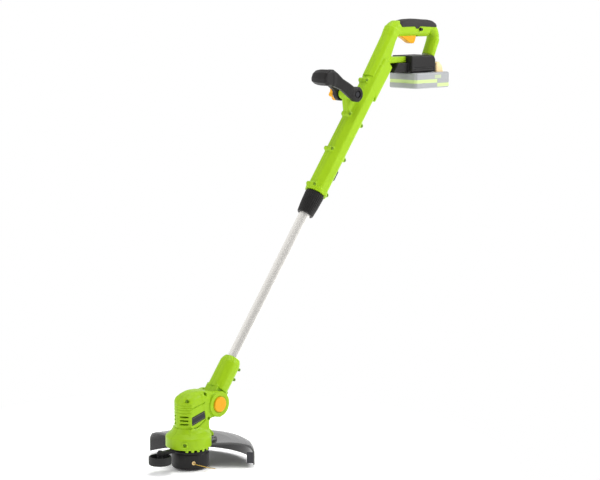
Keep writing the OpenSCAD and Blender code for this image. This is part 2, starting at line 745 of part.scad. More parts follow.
module base_plate() {
    color([0.14, 0.14, 0.14]) difference() {
        union() {
            translate([skirt_x, 0, plate_z]) cylinder(r = skirt_r - wall, h = plate_t);
            // seat that holds the motor
            translate([0, 0, plate_z]) cylinder(r = motor_r + 3, h = motor_z - plate_z + 6);
        }
        translate([0, 0, plate_z - 1]) cylinder(r = 9, h = 60);
        translate([0, 0, motor_z]) cylinder(r = motor_r, h = 60);
        for (a = [60:60:300]) rotate([0, 0, a]) translate([32, 0, plate_z - 1]) cylinder(r = 3, h = 6);
    }
}

module pivot_axle() {
    color([0.6, 0.61, 0.63]) difference() {
        rod_y(pivot_x, pivot_z, pin_r, -knuckle_y - 2, cheek_y - 2.4);
        rod_y(pivot_x, pivot_z, 5, -40, cheek_y - 6);
    }
}

module tilt_button() {
    color([1, 0.68, 0.16]) difference() {
        union() {
            rod_y(pivot_x, pivot_z, button_r, -cheek_y - button_out + 1, -cheek_y + 5);
            translate([pivot_x, -cheek_y - button_out + 1, pivot_z]) rotate([90, 0, 0])
                cylinder(r1 = button_r, r2 = button_r - 1, h = 1);
        }
        rod_y(pivot_x, pivot_z, button_r - 2.4, -cheek_y, -cheek_y + 6);
    }
}

module tilt_spring() {
    color([0.7, 0.7, 0.72]) translate([pivot_x, -knuckle_y - gap - 2.4, pivot_z])
        rotate([90, 0, 0]) coil(10, 0.6, 3, 7.4);
}

// ---- motor and spindle ----

module motor_can() {
    color([0.62, 0.62, 0.64]) translate([0, 0, motor_z]) difference() {
        union() {
            cylinder(r = motor_r, h = motor_h);
            translate([0, 0, motor_h]) cylinder(r = 7, h = 3);
        }
        translate([0, 0, 4]) cylinder(r = motor_r - 1.2, h = motor_h - 8);
        translate([0, 0, -1]) cylinder(r = spindle_r + run, h = motor_h - 1);
    }
}

module motor_magnets() {
    color([0.2, 0.2, 0.22]) translate([0, 0, motor_z + 10]) difference() {
        cylinder(r = motor_r - 1.2, h = motor_h - 22);
        translate([0, 0, -1]) cylinder(r = motor_r - 4.6, h = motor_h);
        for (a = [0, 180]) rotate([0, 0, a]) translate([0, -1.5, -1]) cube([40, 3, 60]);
    }
}

module motor_leads() {
    color([0.55, 0.1, 0.08]) for (y = [-2.2, 2.2])
        sweep([[10, 3 * y, motor_z + motor_h + 0.5], [10, 2.8 * y, motor_z + motor_h + 4],
            [13, 1.5 * y, motor_z + motor_h + 8], [20, y, pivot_z], [29, y, pivot_z]], 1.1, 8, [0, 1, 0]);
}

module spindle() {
    color([0.7, 0.7, 0.72]) translate([0, 0, 9]) cylinder(r = spindle_r, h = motor_z + motor_h - 12);
}

module rotor() {
    color([0.5, 0.35, 0.2]) translate([0, 0, motor_z + 14]) difference() {
        cylinder(r = motor_r - 5.4, h = motor_h - 30);
        translate([0, 0, -1]) cylinder(r = spindle_r, h = motor_h);
        for (a = [0:36:324]) rotate([0, 0, a]) translate([8.5, -0.9, -1]) cube([10, 1.8, 60]);
    }
}

// ---- spool ----

module spool_hub() {
    color([0.13, 0.13, 0.13]) difference() {
        rotate_extrude() polygon([
            [spindle_r, 24], [6, 24], [6, spool_top - 2.5], [spool_r - wall, spool_top - 2.5],
            [spool_r - wall, 5.4], [spool_r, 5.4], [spool_r, spool_top - 8], [spool_r - 1.2, spool_top - 7],
            [spool_r - 1.2, spool_top - 5], [spool_r - 0.2, spool_top - 4], [spool_r - 2, spool_top],
            [9, spool_top], [8, spool_top + 3], [spindle_r, spool_top + 3]
        ]);
        rotate([0, 0, eyelet_a]) translate([0, 0, eyelet_z]) rotate([0, 90, 0]) cylinder(r = 3.2, h = 60);
    }
}

module spool_cap() {
    color([0.16, 0.16, 0.16]) difference() {
        rotate_extrude() polygon([
            [0, 0], [spool_r - 5, 0], [spool_r - 2, 1.2], [spool_r - 0.4, 3.6], [spool_r, 5.4],
            [spool_r - wall, 5.4], [spool_r - wall - 1.2, 5.4], [spool_r - wall - 2, 2.6], [8, 2.6],
            [8, 9], [0, 9]
        ]);
        // finger rib recesses under the cap
        for (a = [0, 120, 240]) rotate([0, 0, a]) translate([16, -6, -0.5]) cube([12, 12, 1.7]);
    }
}

module line_spool() {
    color([0.82, 0.3, 0.12]) difference() {
        rotate_extrude() polygon([
            [6 + gap, 9.6], [spool_r - 6, 9.6], [spool_r - 6, 11.4], [14, 11.4], [14, 26], [spool_r - 6, 26],
            [spool_r - 6, 27.8], [10.5, 27.8], [10.5, 22], [6 + gap, 22]
        ]);
        for (a = [0:60:300]) rotate([0, 0, a]) translate([spool_r - 11, 0, 20]) cylinder(r = 2.4, h = 12);
    }
}

module wound_line() {
    color([0.75, 0.65, 0.32]) rotate_extrude() polygon([
        [14, 11.4], [spool_r - 11, 11.4], [spool_r - 9.6, 14], [spool_r - 9.2, 18.7], [spool_r - 9.6, 23.4],
        [spool_r - 11, 26], [14, 26]
    ]);
}

module spool_spring() {
    color([0.7, 0.7, 0.72]) translate([0, 0, 27.8]) coil(13, 0.7, 3, spool_top - 2.5 - 27.8);
}

module eyelet() {
    color([0.85, 0.6, 0.25]) rotate([0, 0, eyelet_a]) translate([spool_r - wall - 1, 0, eyelet_z])
        rotate([0, 90, 0]) difference() {
            union() {
                cylinder(r = 3.2, h = wall + 1.2);
                translate([0, 0, wall + 1.2]) cylinder(r = 4, h = 1);
            }
            translate([0, 0, -1]) cylinder(r = 1.2, h = 10);
        }
}

// Free end of the cutting line: it lies in the eyelet and droops to one side.
module cutting_line() {
    color([0.75, 0.65, 0.32]) sweep(line_pts, line_r, 8);
}

// ---- guard and wheel ----

module guard() {
    color([0.13, 0.13, 0.13]) difference() {
        union() {
            rotate([0, 0, guard_a0]) rotate_extrude(angle = guard_span) polygon([
                [42, plate_z + 1], [guard_r * 0.64, 50.5], [guard_r - 19, 47.5], [guard_r - 7, 41.5],
                [guard_r - guard_t, 34], [guard_r - guard_t, 7], [guard_r, 7], [guard_r, 35],
                [guard_r - 4, 43.5], [guard_r - 17, 51], [guard_r * 0.64, 54], [42, plate_z + 4.5]
            ]);
            // root block under the wing
            along_y(-20, 20) polygon([
                [skirt_r - 12, plate_z + 1], [skirt_r + 12, plate_z + 2.5], [skirt_r + 9, plate_z + 11],
                [skirt_r + 3.5, plate_z + 14], [skirt_r - 12, plate_z + 14]
            ]);
            // stiffening ribs beneath the top
            for (a = [-10, 30]) rotate([0, 0, a]) along_y(-1, 1) polygon([
                [56, plate_z + 3], [guard_r - 30, plate_z + 3.5], [guard_r * 0.64, 44]
            ]);
        }
        translate([skirt_x, 0, 0]) cylinder(r = skirt_r, h = 90);
        for (y = [-9, 9]) translate([skirt_r - 2, y, plate_z + 8]) cylinder(r = 1.8, h = 20);
    }
}

module guard_screws() {
    color([0.45, 0.46, 0.48]) for (y = [-9, 9])
        translate([skirt_r - 2, y, plate_z + 8]) screw(9, 1.8);
}

module line_cutter() {
    color([0.7, 0.7, 0.72]) rotate([0, 0, guard_a0 + 2]) translate([guard_r - guard_t - 14, 0, 9])
        cube([15, 1.2, 24]);
}

module wheel_bracket() {
    color([0.14, 0.14, 0.14]) difference() {
        union() {
            translate([wheel_x, -5, plate_z - 3]) cube([-wheel_x - spool_r + 10, 10, 3]);
            translate([wheel_x, -5, wheel_z + wheel_h + 1]) cube([-wheel_x - spool_r - 5, 10, 5]);
            translate([wheel_x, 0, wheel_z + wheel_h + 0.6]) cylinder(r = 6.5, h = plate_z - wheel_z - wheel_h + 1.4);
            translate([wheel_x, 0, plate_z]) cylinder(r1 = 6.5, r2 = 5, h = 3);
        }
        translate([wheel_x, 0, 0]) cylinder(r = axle_r, h = plate_z);
    }
}

module wheel_axle() {
    color([0.7, 0.7, 0.72]) translate([wheel_x, 0, 0]) {
        translate([0, 0, wheel_z + 0.4]) cylinder(r = axle_r, h = plate_z - wheel_z - 0.4);
        translate([0, 0, wheel_z - 1.4]) cylinder(r = 5.4, h = 1.8);
    }
}

module edge_wheel() {
    color([0.17, 0.17, 0.17]) translate([wheel_x, 0, wheel_z]) difference() {
        rotate_extrude() polygon([
            [axle_r + run, 0.8], [6, 0.8], [7, 2], [wheel_r - 3, 2], [wheel_r - 1, 0], [wheel_r, 1.5],
            [wheel_r, wheel_h - 1.5], [wheel_r - 1, wheel_h], [wheel_r - 3.4, wheel_h], [wheel_r - 3.6, 4.6],
            [6, 4.6], [6, wheel_h], [axle_r + run, wheel_h]
        ]);
    }
}

housing_near();
housing_far();
housing_screws();
grip_pad();
battery_dock();
dock_terminals();
switch_box();
switch_leads();
trigger();
trigger_pin();
trigger_spring();
lock_off_button();
front_handle();
handle_bolt();
handle_washer();
handle_knob();
collet();
twist_collar();
turn_lock_tab();
tab_spring();
slider_bush();
tube();
tube_rings();
inner_cable();
cable_plugs();
neck();
neck_screws();
head_shell_near();
head_shell_far();
head_screws();
label_plate();
base_plate();
pivot_axle();
tilt_button();
tilt_spring();
motor_can();
motor_magnets();
motor_leads();
spindle();
rotor();
spool_hub();
spool_cap();
line_spool();
wound_line();
spool_spring();
eyelet();
cutting_line();
guard();
guard_screws();
line_cutter();
wheel_bracket();
wheel_axle();
edge_wheel();
battery();
battery_latch();
latch_spring();
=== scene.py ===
"""Looks of the cordless string trimmer: moulded shells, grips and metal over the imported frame.

Every visible shell is a solid given by a signed distance, in millimetres, whose zero surface is found on a grid.
Turned pieces are lathed from rounded profiles. Everything else is the frame's own mesh with a procedural finish.
"""
import json
import logging
import math
from dataclasses import dataclass, field
from enum import Enum
from typing import Callable, Sequence

import bpy
import numpy as np
from mathutils import Matrix, Vector


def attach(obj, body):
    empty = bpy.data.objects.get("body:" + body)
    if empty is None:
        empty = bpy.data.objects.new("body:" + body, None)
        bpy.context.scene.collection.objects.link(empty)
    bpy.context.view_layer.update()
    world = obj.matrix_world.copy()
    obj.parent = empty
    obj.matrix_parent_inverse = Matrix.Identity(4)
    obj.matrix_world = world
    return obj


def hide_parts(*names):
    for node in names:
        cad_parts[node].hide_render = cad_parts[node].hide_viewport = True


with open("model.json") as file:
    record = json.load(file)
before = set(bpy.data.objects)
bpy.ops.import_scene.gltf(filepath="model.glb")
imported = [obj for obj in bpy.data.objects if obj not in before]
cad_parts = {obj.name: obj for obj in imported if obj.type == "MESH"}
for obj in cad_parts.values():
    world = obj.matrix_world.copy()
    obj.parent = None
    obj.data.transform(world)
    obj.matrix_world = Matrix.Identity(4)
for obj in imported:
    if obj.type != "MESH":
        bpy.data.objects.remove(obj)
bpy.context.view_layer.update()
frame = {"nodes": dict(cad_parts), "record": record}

logging.basicConfig(level=logging.INFO, format="%(levelname)s %(message)s")
log = logging.getLogger("trimmer")

Array = np.ndarray
Field = Callable[[Array], Array]

# ---- sizes shared with the frame, in millimetres ----
TILT = math.radians(53.4)
PIVOT = np.array([58.0, 0.0, 130.0])
KNEE = PIVOT + 861.0 * np.array([math.cos(TILT), 0.0, math.sin(TILT)])
HOUSING_T, HOUSING_W = 46.0, 44.0
LOOP_S, LOOP_H = 760.8, 47.0
LOOP = PIVOT + LOOP_S * np.array([math.cos(TILT), 0, math.sin(TILT)]) + LOOP_H * np.array(
    [-math.sin(TILT), 0, math.cos(TILT)])
LUGS = (537.0, 630.0, 722.0, 814.0)
SPOOL_R, SKIRT_R, GUARD_R, WHEEL_R = 39.7, 48.5, 137.0, 24.0
WHEEL_X = -(SPOOL_R + WHEEL_R + 20.0)
TUBE_R = 12.7


class Look(Enum):
    """Finishes of the object, one per material slot of the record."""

    LIME = "green_shell"
    BLACK = "black_plastic"
    GUARD = "guard_plastic"
    ORANGE = "orange_plastic"
    GRIP = "soft_grip"
    TUBE = "tube_aluminium"
    STEEL = "steel"
    BRASS = "brass"
    JACKET = "cable_jacket"
    WIRE = "wire_red"
    BATTERY = "battery_plastic"
    LATCH = "latch_plastic"
    LABEL = "label"
    WHITE = "white_plastic"
    MOTOR = "motor_steel"
    FERRITE = "ferrite"
    SPOOL = "spool_red"
    LINE = "nylon_line"
    COPPER = "copper"
    WHEEL = "wheel_plastic"


# ---- frames ----


@dataclass(frozen=True)
class Place:
    """A right-handed set of axes in which a solid is described.

    Args:
        origin: place of the local origin, in millimetres.
        axes: rows are the local X, Y and Z directions.
    """

    origin: Array
    axes: Array

    def local(self, p: Array) -> Array:
        """Returns points p of the part in this frame."""
        return (p - self.origin) @ self.axes.T

    def world(self, q: Array) -> Array:
        """Returns local points q in the part's frame."""
        return q @ self.axes + self.origin


WORLD = Place(np.zeros(3), np.eye(3))
SHAFT = Place(PIVOT, np.array([
    [math.sin(TILT), 0, -math.cos(TILT)], [0, 1, 0], [math.cos(TILT), 0, math.sin(TILT)]]))
HANDLE = Place(KNEE, np.eye(3))
LOOP_FRAME = Place(LOOP, np.eye(3))


# ---- signed distances ----


def smax(a: Array, b: Array, k: float) -> Array:
    """Overlap of two solids with its edge rounded over about k."""
    h = np.maximum(k - np.abs(a - b), 0.0) / k
    return np.maximum(a, b) + h * h * k * 0.25


def smin(a: Array, b: Array, k: float) -> Array:
    """Union of two solids with a fillet of about k between them."""
    return -smax(-a, -b, k)


def cut(a: Array, b: Array, k: float = 0.6) -> Array:
    """Solid a less solid b, its lip rounded over k."""
    return smax(a, -b, k)


def section(u: Array, v: Array, a: float, b: float, c: float, k: float) -> Array:
    """Eight-sided section, half sizes a and b, corners cut by c, edges rounded over k."""
    au, av = np.abs(u), np.abs(v)
    d = smax(au - a, av - b, k)
    return smax(d, (au + av - (a + b - c)) * 0.70711, k)


def block(p: Array, lo: Sequence[float], hi: Sequence[float], k: float) -> Array:
    """Box from corner lo to corner hi with its edges rounded over k."""
    c = (np.array(lo) + np.array(hi)) / 2
    h = (np.array(hi) - np.array(lo)) / 2
    q = np.abs(p - c) - h
    return smax(smax(q[:, 0], q[:, 1], k), q[:, 2], k)


def barrel(p: Array, x: float, z: float, r: float, y0: float, y1: float, k: float) -> Array:
    """Round bar along Y, radius r, from y0 to y1, with its rims rounded over k."""
    d = np.hypot(p[:, 0] - x, p[:, 2] - z) - r
    return smax(d, np.abs(p[:, 1] - (y0 + y1) / 2) - (y1 - y0) / 2, k)


def post(p: Array, x: float, y: float, r: float, z0: float, z1: float, k: float) -> Array:
    """Round bar along Z, radius r, from z0 to z1, with its rims rounded over k."""
    d = np.hypot(p[:, 0] - x, p[:, 1] - y) - r
    return smax(d, np.abs(p[:, 2] - (z0 + z1) / 2) - (z1 - z0) / 2, k)


def slab(p: Array, outline: Sequence[tuple[float, float]], y0: float, y1: float, k: float) -> Array:
    """Plate along Y whose X-Z outline is any simple polygon, with its rims rounded over k."""
    pts = np.array(outline, float)
    x, z = p[:, 0], p[:, 2]
    best = np.full(len(p), 1e9)
    inside = np.zeros(len(p), bool)
    for a, b in zip(pts, np.roll(pts, -1, axis=0)):
        e = b - a
        w = np.stack([x - a[0], z - a[1]])
        t = np.clip((w[0] * e[0] + w[1] * e[1]) / max(e @ e, 1e-9), 0, 1)
        best = np.minimum(best, np.hypot(w[0] - e[0] * t, w[1] - e[1] * t))
        over = (a[1] > z) != (b[1] > z)
        slope = e[0] / (e[1] if abs(e[1]) > 1e-9 else 1e-9)
        inside ^= over & (x < a[0] + (z - a[1]) * slope)
    d = np.where(inside, -best, best)
    return smax(d, np.abs(p[:, 1] - (y0 + y1) / 2) - (y1 - y0) / 2, k)


def turned(p: Array, x: float, y: float, outline: Sequence[tuple[float, float]], k: float = 1.0) -> Array:
    """Solid of revolution about the upright line at x, y, from its radius-height outline."""
    q = np.stack([np.hypot(p[:, 0] - x, p[:, 1] - y), np.zeros(len(p)), p[:, 2]], axis=1)
    both = [*outline, *[(-r, z) for r, z in reversed(outline)]]
    return slab(q, both, -1e3, 1e3, k)


def spun(p: Array, deg: float) -> Array:
    """Points turned back by deg about Z, so that a solid drawn along X lies at deg."""
    c, s = math.cos(math.radians(deg)), math.sin(math.radians(deg))
    return np.stack([c * p[:, 0] + s * p[:, 1], -s * p[:, 0] + c * p[:, 1], p[:, 2]], axis=1)


# ---- surface of a distance field ----

CORNERS = np.array([[i, j, k] for i in (0, 1) for j in (0, 1) for k in (0, 1)])
EDGES = [(a, b) for a in range(8) for b in range(a + 1, 8) if np.abs(CORNERS[a] - CORNERS[b]).sum() == 1]


def surface(shape: Field, lo: Sequence[float], hi: Sequence[float], step: float) -> tuple[Array, Array]:
    """Finds the zero surface of a signed distance on a grid and settles its points on it.

    One point stands in each grid cell that the surface crosses, at the mean of its edge crossings, and four
    cells round each crossed grid edge give one four-sided face.

    Args:
        shape: the signed distance of points, negative inside.
        lo, hi: corners of the grid, in millimetres.
        step: grid step, in millimetres.

    Returns:
        The points and the four-sided faces.
    """
    lo = np.array(lo, float) - 1.5 * step
    n = np.ceil((np.array(hi, float) + 1.5 * step - lo) / step).astype(int) + 1
    axes = [lo[k] + step * np.arange(n[k]) for k in range(3)]
    values = np.empty(tuple(n))
    plane = np.stack(np.meshgrid(axes[1], axes[2], indexing="ij"), axis=-1).reshape(-1, 2)
    rows = max(1, 120000 // len(plane))
    for i in range(0, n[0], rows):
        xs = axes[0][i:i + rows]
        p = np.empty((len(xs), len(plane), 3))
        p[:, :, 0] = xs[:, None]
        p[:, :, 1:] = plane
        values[i:i + rows] = shape(p.reshape(-1, 3)).reshape(len(xs), n[1], n[2])
    inside = values < 0
    count = sum(inside[a:n[0] - 1 + a, b:n[1] - 1 + b, c:n[2] - 1 + c].astype(int) for a, b, c in CORNERS)
    cells = np.argwhere((count > 0) & (count < 8))
    index = np.full(tuple(n - 1), -1)
    index[tuple(cells.T)] = np.arange(len(cells))
    at = [values[tuple((cells + c).T)] for c in CORNERS]
    total, hits = np.zeros((len(cells), 3)), np.zeros(len(cells))
    for a, b in EDGES:
        crossed = (at[a] < 0) != (at[b] < 0)
        t = np.where(crossed, at[a] / np.where(at[a] == at[b], 1, at[a] - at[b]), 0)
        total += crossed[:, None] * (CORNERS[a] + t[:, None] * (CORNERS[b] - CORNERS[a]))
        hits += crossed
    verts = lo + step * (cells + total / hits[:, None])
    quads = []
    for k in range(3):
        u, w = (k + 1) % 3, (k + 2) % 3
        one, two = [slice(None)] * 3, [slice(None)] * 3
        one[k], two[k] = slice(0, -1), slice(1, None)
        flips = np.argwhere(inside[tuple(one)] != inside[tuple(two)])
        keep = (flips[:, u] > 0) & (flips[:, w] > 0) & (flips[:, u] < n[u] - 1) & (flips[:, w] < n[w] - 1)
        flips = flips[keep]
        du, dw = np.eye(3, dtype=int)[u], np.eye(3, dtype=int)[w]
        ring = [index[tuple((flips - s).T)] for s in (du * 0, du, du + dw, dw)]
        q = np.stack(ring, axis=1)
        out = inside[tuple(flips.T)]
        q[~out] = q[~out][:, ::-1]
        quads.append(q)
    verts = settle(shape, verts, step)
    return verts, np.concatenate(quads)


def settle(shape: Field, verts: Array, step: float) -> Array:
    """Moves points along the slope of the distance until they lie on its zero surface."""
    for _ in range(3):
        d = shape(verts)
        e = 0.15
        g = np.stack([shape(verts + e * np.eye(3)[k]) - shape(verts - e * np.eye(3)[k]) for k in range(3)], axis=1)
        g /= 2 * e
        size = np.maximum((g * g).sum(axis=1), 0.25)
        move = -g * (d / size)[:, None]
        verts = verts + np.clip(move, -0.6 * step, 0.6 * step)
    return verts


def mesh_from(name: str, verts: Array, faces: Array, smooth: bool = True) -> bpy.types.Object:
    """Makes a mesh object at the origin from points in millimetres and faces of equal size."""
    mesh = bpy.data.meshes.new(name)
    size = faces.shape[1]
    mesh.vertices.add(len(verts))
    mesh.vertices.foreach_set("co", (verts / 1000.0).astype(np.float32).ravel())
    mesh.loops.add(faces.size)
    mesh.loops.foreach_set("vertex_index", faces.astype(np.int32).ravel())
    mesh.polygons.add(len(faces))
    mesh.polygons.foreach_set("loop_start", np.arange(0, faces.size, size, dtype=np.int32))
    mesh.polygons.foreach_set("loop_total", np.full(len(faces), size, dtype=np.int32))
    mesh.polygons.foreach_set("use_smooth", np.full(len(faces), smooth))
    mesh.update(calc_edges=True)
    mesh.validate()
    obj = bpy.data.objects.new(name, mesh)
    bpy.context.collection.objects.link(obj)
    return obj


@dataclass
class Moulded:
    """A moulded piece given by a signed distance.

    Args:
        name: name of the finished piece.
        shape: its signed distance in its own frame.
        lo, hi: corners of the box that holds it, in its own frame.
        step: grid step in millimetres.
        place: the frame it is described in.
        body: CAD body it moves with.
        nodes: CAD nodes it stands for.
        look: its finish.
    """

    name: str
    shape: Field
    lo: Sequence[float]
    hi: Sequence[float]
    step: float
    place: Place
    body: str
    nodes: Sequence[str]
    look: Look

    def build(self) -> bpy.types.Object:
        """Makes the piece, ties it to its body and returns it."""
        verts, faces = surface(self.shape, self.lo, self.hi, self.step)
        obj = mesh_from(self.name, self.place.world(verts), faces)
        log.info("%s: %d points, %d faces", self.name, len(verts), len(faces))
        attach(obj, self.body)
        if self.nodes:
            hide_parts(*self.nodes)
        return obj


@dataclass
class Lathed:
    """A turned piece: an outline of radius and height spun about an axis.

    Args:
        name: name of the finished piece.
        outline: radius and height pairs, closed on itself.
        place: frame whose Z is the axis.
        body: CAD body it moves with.
        nodes: CAD nodes it stands for.
        look: its finish.
        around: points round the axis.
        shape: change of radius for an angle and a height, such as ribs.
        rounding: radius given to the corners of the outline.
    """

    name: str
    outline: Sequence[tuple[float, float]]
    place: Place
    body: str
    nodes: Sequence[str]
    look: Look
    around: int = 128
    shape: Callable[[Array, Array, Array], Array] | None = None
    rounding: float = 0.5
    start: float = 0.0
    span: float = 360.0

    def rounded(self) -> Array:
        """Returns the outline with each corner turned into a short arc of three points."""
        pts = np.array(self.outline, float)
        out = []
        for before, here, after in zip(np.roll(pts, 1, 0), pts, np.roll(pts, -1, 0)):
            a, b = before - here, after - here
            la, lb = np.linalg.norm(a), np.linalg.norm(b)
            r = min(self.rounding, 0.4 * la, 0.4 * lb)
            p0, p1 = here + a / la * r, here + b / lb * r
            for t in (0.0, 0.3, 0.7, 1.0):
                out.append((1 - t) ** 2 * p0 + 2 * t * (1 - t) * here + t * t * p1)
        return np.array(out)

    def build(self) -> bpy.types.Object:
        """Makes the piece, ties it to its body and returns it."""
        prof = self.rounded()
        m = len(prof)
        whole = self.span >= 360
        steps = self.around if whole else self.around + 1
        ang = np.radians(self.start + self.span * np.arange(steps) / self.around)
        r = np.repeat(prof[None, :, 0], steps, 0)
        z = np.repeat(prof[None, :, 1], steps, 0)
        a = np.repeat(ang[:, None], m, 1)
        if self.shape is not None:
            r = r + self.shape(a, r, z)
        verts = np.stack([r * np.cos(a), r * np.sin(a), z], axis=-1).reshape(-1, 3)
        i = np.arange(self.around)[:, None]
        j = np.arange(m)[None, :]
        nxt = (i + 1) % steps
        faces = np.stack([
            i * m + j + 0 * nxt, nxt * m + j, nxt * m + (j + 1) % m, i * m + (j + 1) % m], axis=-1).reshape(-1, 4)
        area = np.sum(prof[:, 0] * np.roll(prof[:, 1], -1) - np.roll(prof[:, 0], -1) * prof[:, 1])
        if area < 0:
            faces = faces[:, ::-1]
        obj = mesh_from(self.name, self.place.world(verts), faces)
        if not whole:
            close_ends(obj, m, steps)
        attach(obj, self.body)
        if self.nodes:
            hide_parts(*self.nodes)
        return obj


def close_ends(obj: bpy.types.Object, m: int, steps: int) -> None:
    """Closes the two cut ends of a part-turned piece with one face each."""
    import bmesh
    bm = bmesh.new()
    bm.from_mesh(obj.data)
    bm.verts.ensure_lookup_table()
    bm.faces.new([bm.verts[k] for k in range(m)])
    bm.faces.new([bm.verts[(steps - 1) * m + k] for k in reversed(range(m))])
    bmesh.ops.recalc_face_normals(bm, faces=bm.faces)
    bm.to_mesh(obj.data)
    bm.free()


# ---- shapes of the rear housing and grip ----


def lower_housing(p: Array) -> Array:
    """Lower housing in the shaft frame: faceted tube, end flange, lugs and the front handle's bracket."""
    x, y, s = p[:, 0], p[:, 1], p[:, 2]
    d = section(x, y, HOUSING_T / 2, HOUSING_W / 2, 12.5, 2.2)
    d = smax(d, np.abs(s - 700) - 166, 3.0)
    flange = smax(section(x, y, HOUSING_T / 2 + 2.4, HOUSING_W / 2 + 2.2, 14, 4), np.abs(s - 531) - 4.8, 1.6)
    d = smin(d, flange, 1.5)
    for at in LUGS:
        for side in (-1, 1):
            d = smin(d, barrel(p, side * (HOUSING_T / 2 + 0.5), at, 5.4, -12, 12, 2.0), 3.0)
    web = slab(p, [
        (-HOUSING_T / 2 + 4, LOOP_S - 42), (-HOUSING_T / 2 - 9, LOOP_S - 33), (-LOOP_H - 8, LOOP_S - 10),
        (-LOOP_H + 2, LOOP_S + 11), (-HOUSING_T / 2 - 8, LOOP_S + 14), (-HOUSING_T / 2 + 4, LOOP_S + 25)],
        -9, 9, 3.0)
    d = smin(d, web, 5.0)
    d = smin(d, barrel(p, -LOOP_H, LOOP_S, 12.9, -17.9, 17.9, 2.0), 3.0)
    sleeve = slab(p, [(-24, 826), (-5, 804), (7, 802), (18, 786), (23.5, 787), (31.5, 862), (31.5, 878), (-24, 884)],
                  -22.6, 22.6, 2.0)
    back = smax(sleeve, section(x - 4.5, y, 27.0, HOUSING_W / 2 + 0.6, 14.0, 4.0), 1.0)
    d = smin(d, back, 0.6)
    hollow = smax(section(x, y, HOUSING_T / 2 - 2.6, HOUSING_W / 2 - 2.6, 12, 4), np.abs(s - 708) - 171, 3)
    d = cut(d, hollow, 0.8)
    d = cut(d, np.hypot(x, y) - 15.5, 0.8)
    d = cut(d, block(p, (12, -7.6, 574), (32, 7.6, 603), 0.8), 0.8)
    d = cut(d, barrel(p, -LOOP_H, LOOP_S, 3.2, -40, 40, 0.3), 0.4)
    for at in LUGS:
        for side in (-1, 1):
            d = cut(d, barrel(p, side * (HOUSING_T / 2 + 2), at, 3.3, -14, -10.5, 0.3), 0.5)
    return d


ARM = math.radians(60.5)
BEND_Z, BAR_Z, BAR_X0, BAR_X1 = 70.0, 89.0, 57.9, 161.8
POST_C, POST_R, POST_A = 67.0, 27.0, math.radians(114)


def straight(p: Array, x0: float, z0: float, a: float, t0: float, t1: float,
             half: tuple[float, float, float], k: float) -> Array:
    """Straight stretch of the grip loop, from t0 to t1 along direction a from x0, z0."""
    dx, dz = p[:, 0] - x0, p[:, 2] - z0
    t = dx * math.cos(a) + dz * math.sin(a)
    u = -dx * math.sin(a) + dz * math.cos(a)
    d = section(u, p[:, 1], *half, k)
    return smax(d, np.abs(t - (t0 + t1) / 2) - (t1 - t0) / 2, 0.5)


def curved(p: Array, x0: float, z0: float, r: float, a0: float, a1: float,
           half: tuple[float, float, float], k: float) -> Array:
    """Curved stretch of the grip loop about x0, z0, between angles a0 and a1."""
    dx, dz = p[:, 0] - x0, p[:, 2] - z0
    rho = np.hypot(dx, dz)
    mid, half_a = (a0 + a1) / 2, (a1 - a0) / 2
    turn = np.abs((np.arctan2(dz, dx) - mid + math.pi) % (2 * math.pi) - math.pi)
    d = section(rho - r, p[:, 1], *half, k)
    return smax(d, (turn - half_a) * np.maximum(rho, 4.0), 0.5)


def grip_loop(p: Array) -> Array:
    """Arm, closed grip, rear post and shelf, in the handle frame."""
    along = (p[:, 0] + 17.5) * math.cos(ARM) + (p[:, 2] + 24.7) * math.sin(ARM)
    wide = 18.0 + 0.085 * np.clip(106 - along, 0, 106)
    arm, bar, back = (wide, 17.0 + 0.05 * (wide - 18), 9.5), (19.0, 16.0, 9.5), (14.0, 16.0, 9.0)
    d = straight(p, -17.5, -24.7, ARM, 0, 119.6, arm, 3)
    corner = smax(straight(p, -17.5, -24.7, ARM, 110, 131, arm, 3), p[:, 2] - BAR_Z - 18.5, 12.0)
    d = smin(d, corner, 1.0)
    d = smin(d, curved(p, BAR_X0, BEND_Z, 19.0, math.pi / 2 - 0.01, math.pi / 2 + ARM + 0.01, bar, 3), 1.5)
    d = smin(d, straight(p, 50, BAR_Z, 0, 0, 111.8, bar, 3), 2.0)
    d = smin(d, curved(p, BAR_X1, POST_C, POST_R, math.pi / 2 - POST_A - 0.01, math.pi / 2 + 0.01, back, 6), 2.0)
    px, pz = BAR_X1 + POST_R * math.cos(math.pi / 2 - POST_A), POST_C + POST_R * math.sin(math.pi / 2 - POST_A)
    d = smin(d, straight(p, px, pz, -POST_A, -9, 34, back, 3), 2.0)
    d = smin(d, block(p, (14, -13, 12), (82, 13, 26), 2.0), 6.0)
    # way for the tube and its bush when the shaft is pushed in
    s = p[:, 0] * math.cos(TILT) + p[:, 2] * math.sin(TILT)
    u = p[:, 0] * math.sin(TILT) - p[:, 2] * math.cos(TILT)
    d = cut(d, smax(section(u, p[:, 1], HOUSING_T / 2 - 2.6, HOUSING_W / 2 - 2.6, 12, 4), s - 18, 3), 0.8)
    # slot for the trigger
    d = cut(d, block(p, (57, -8.8, 58), (126.5, 8.8, 100), 0.8), 0.8)
    d = cut(d, barrel(p, 126.5, 87, 3.7, -40, 40, 0.3), 0.5)
    return d


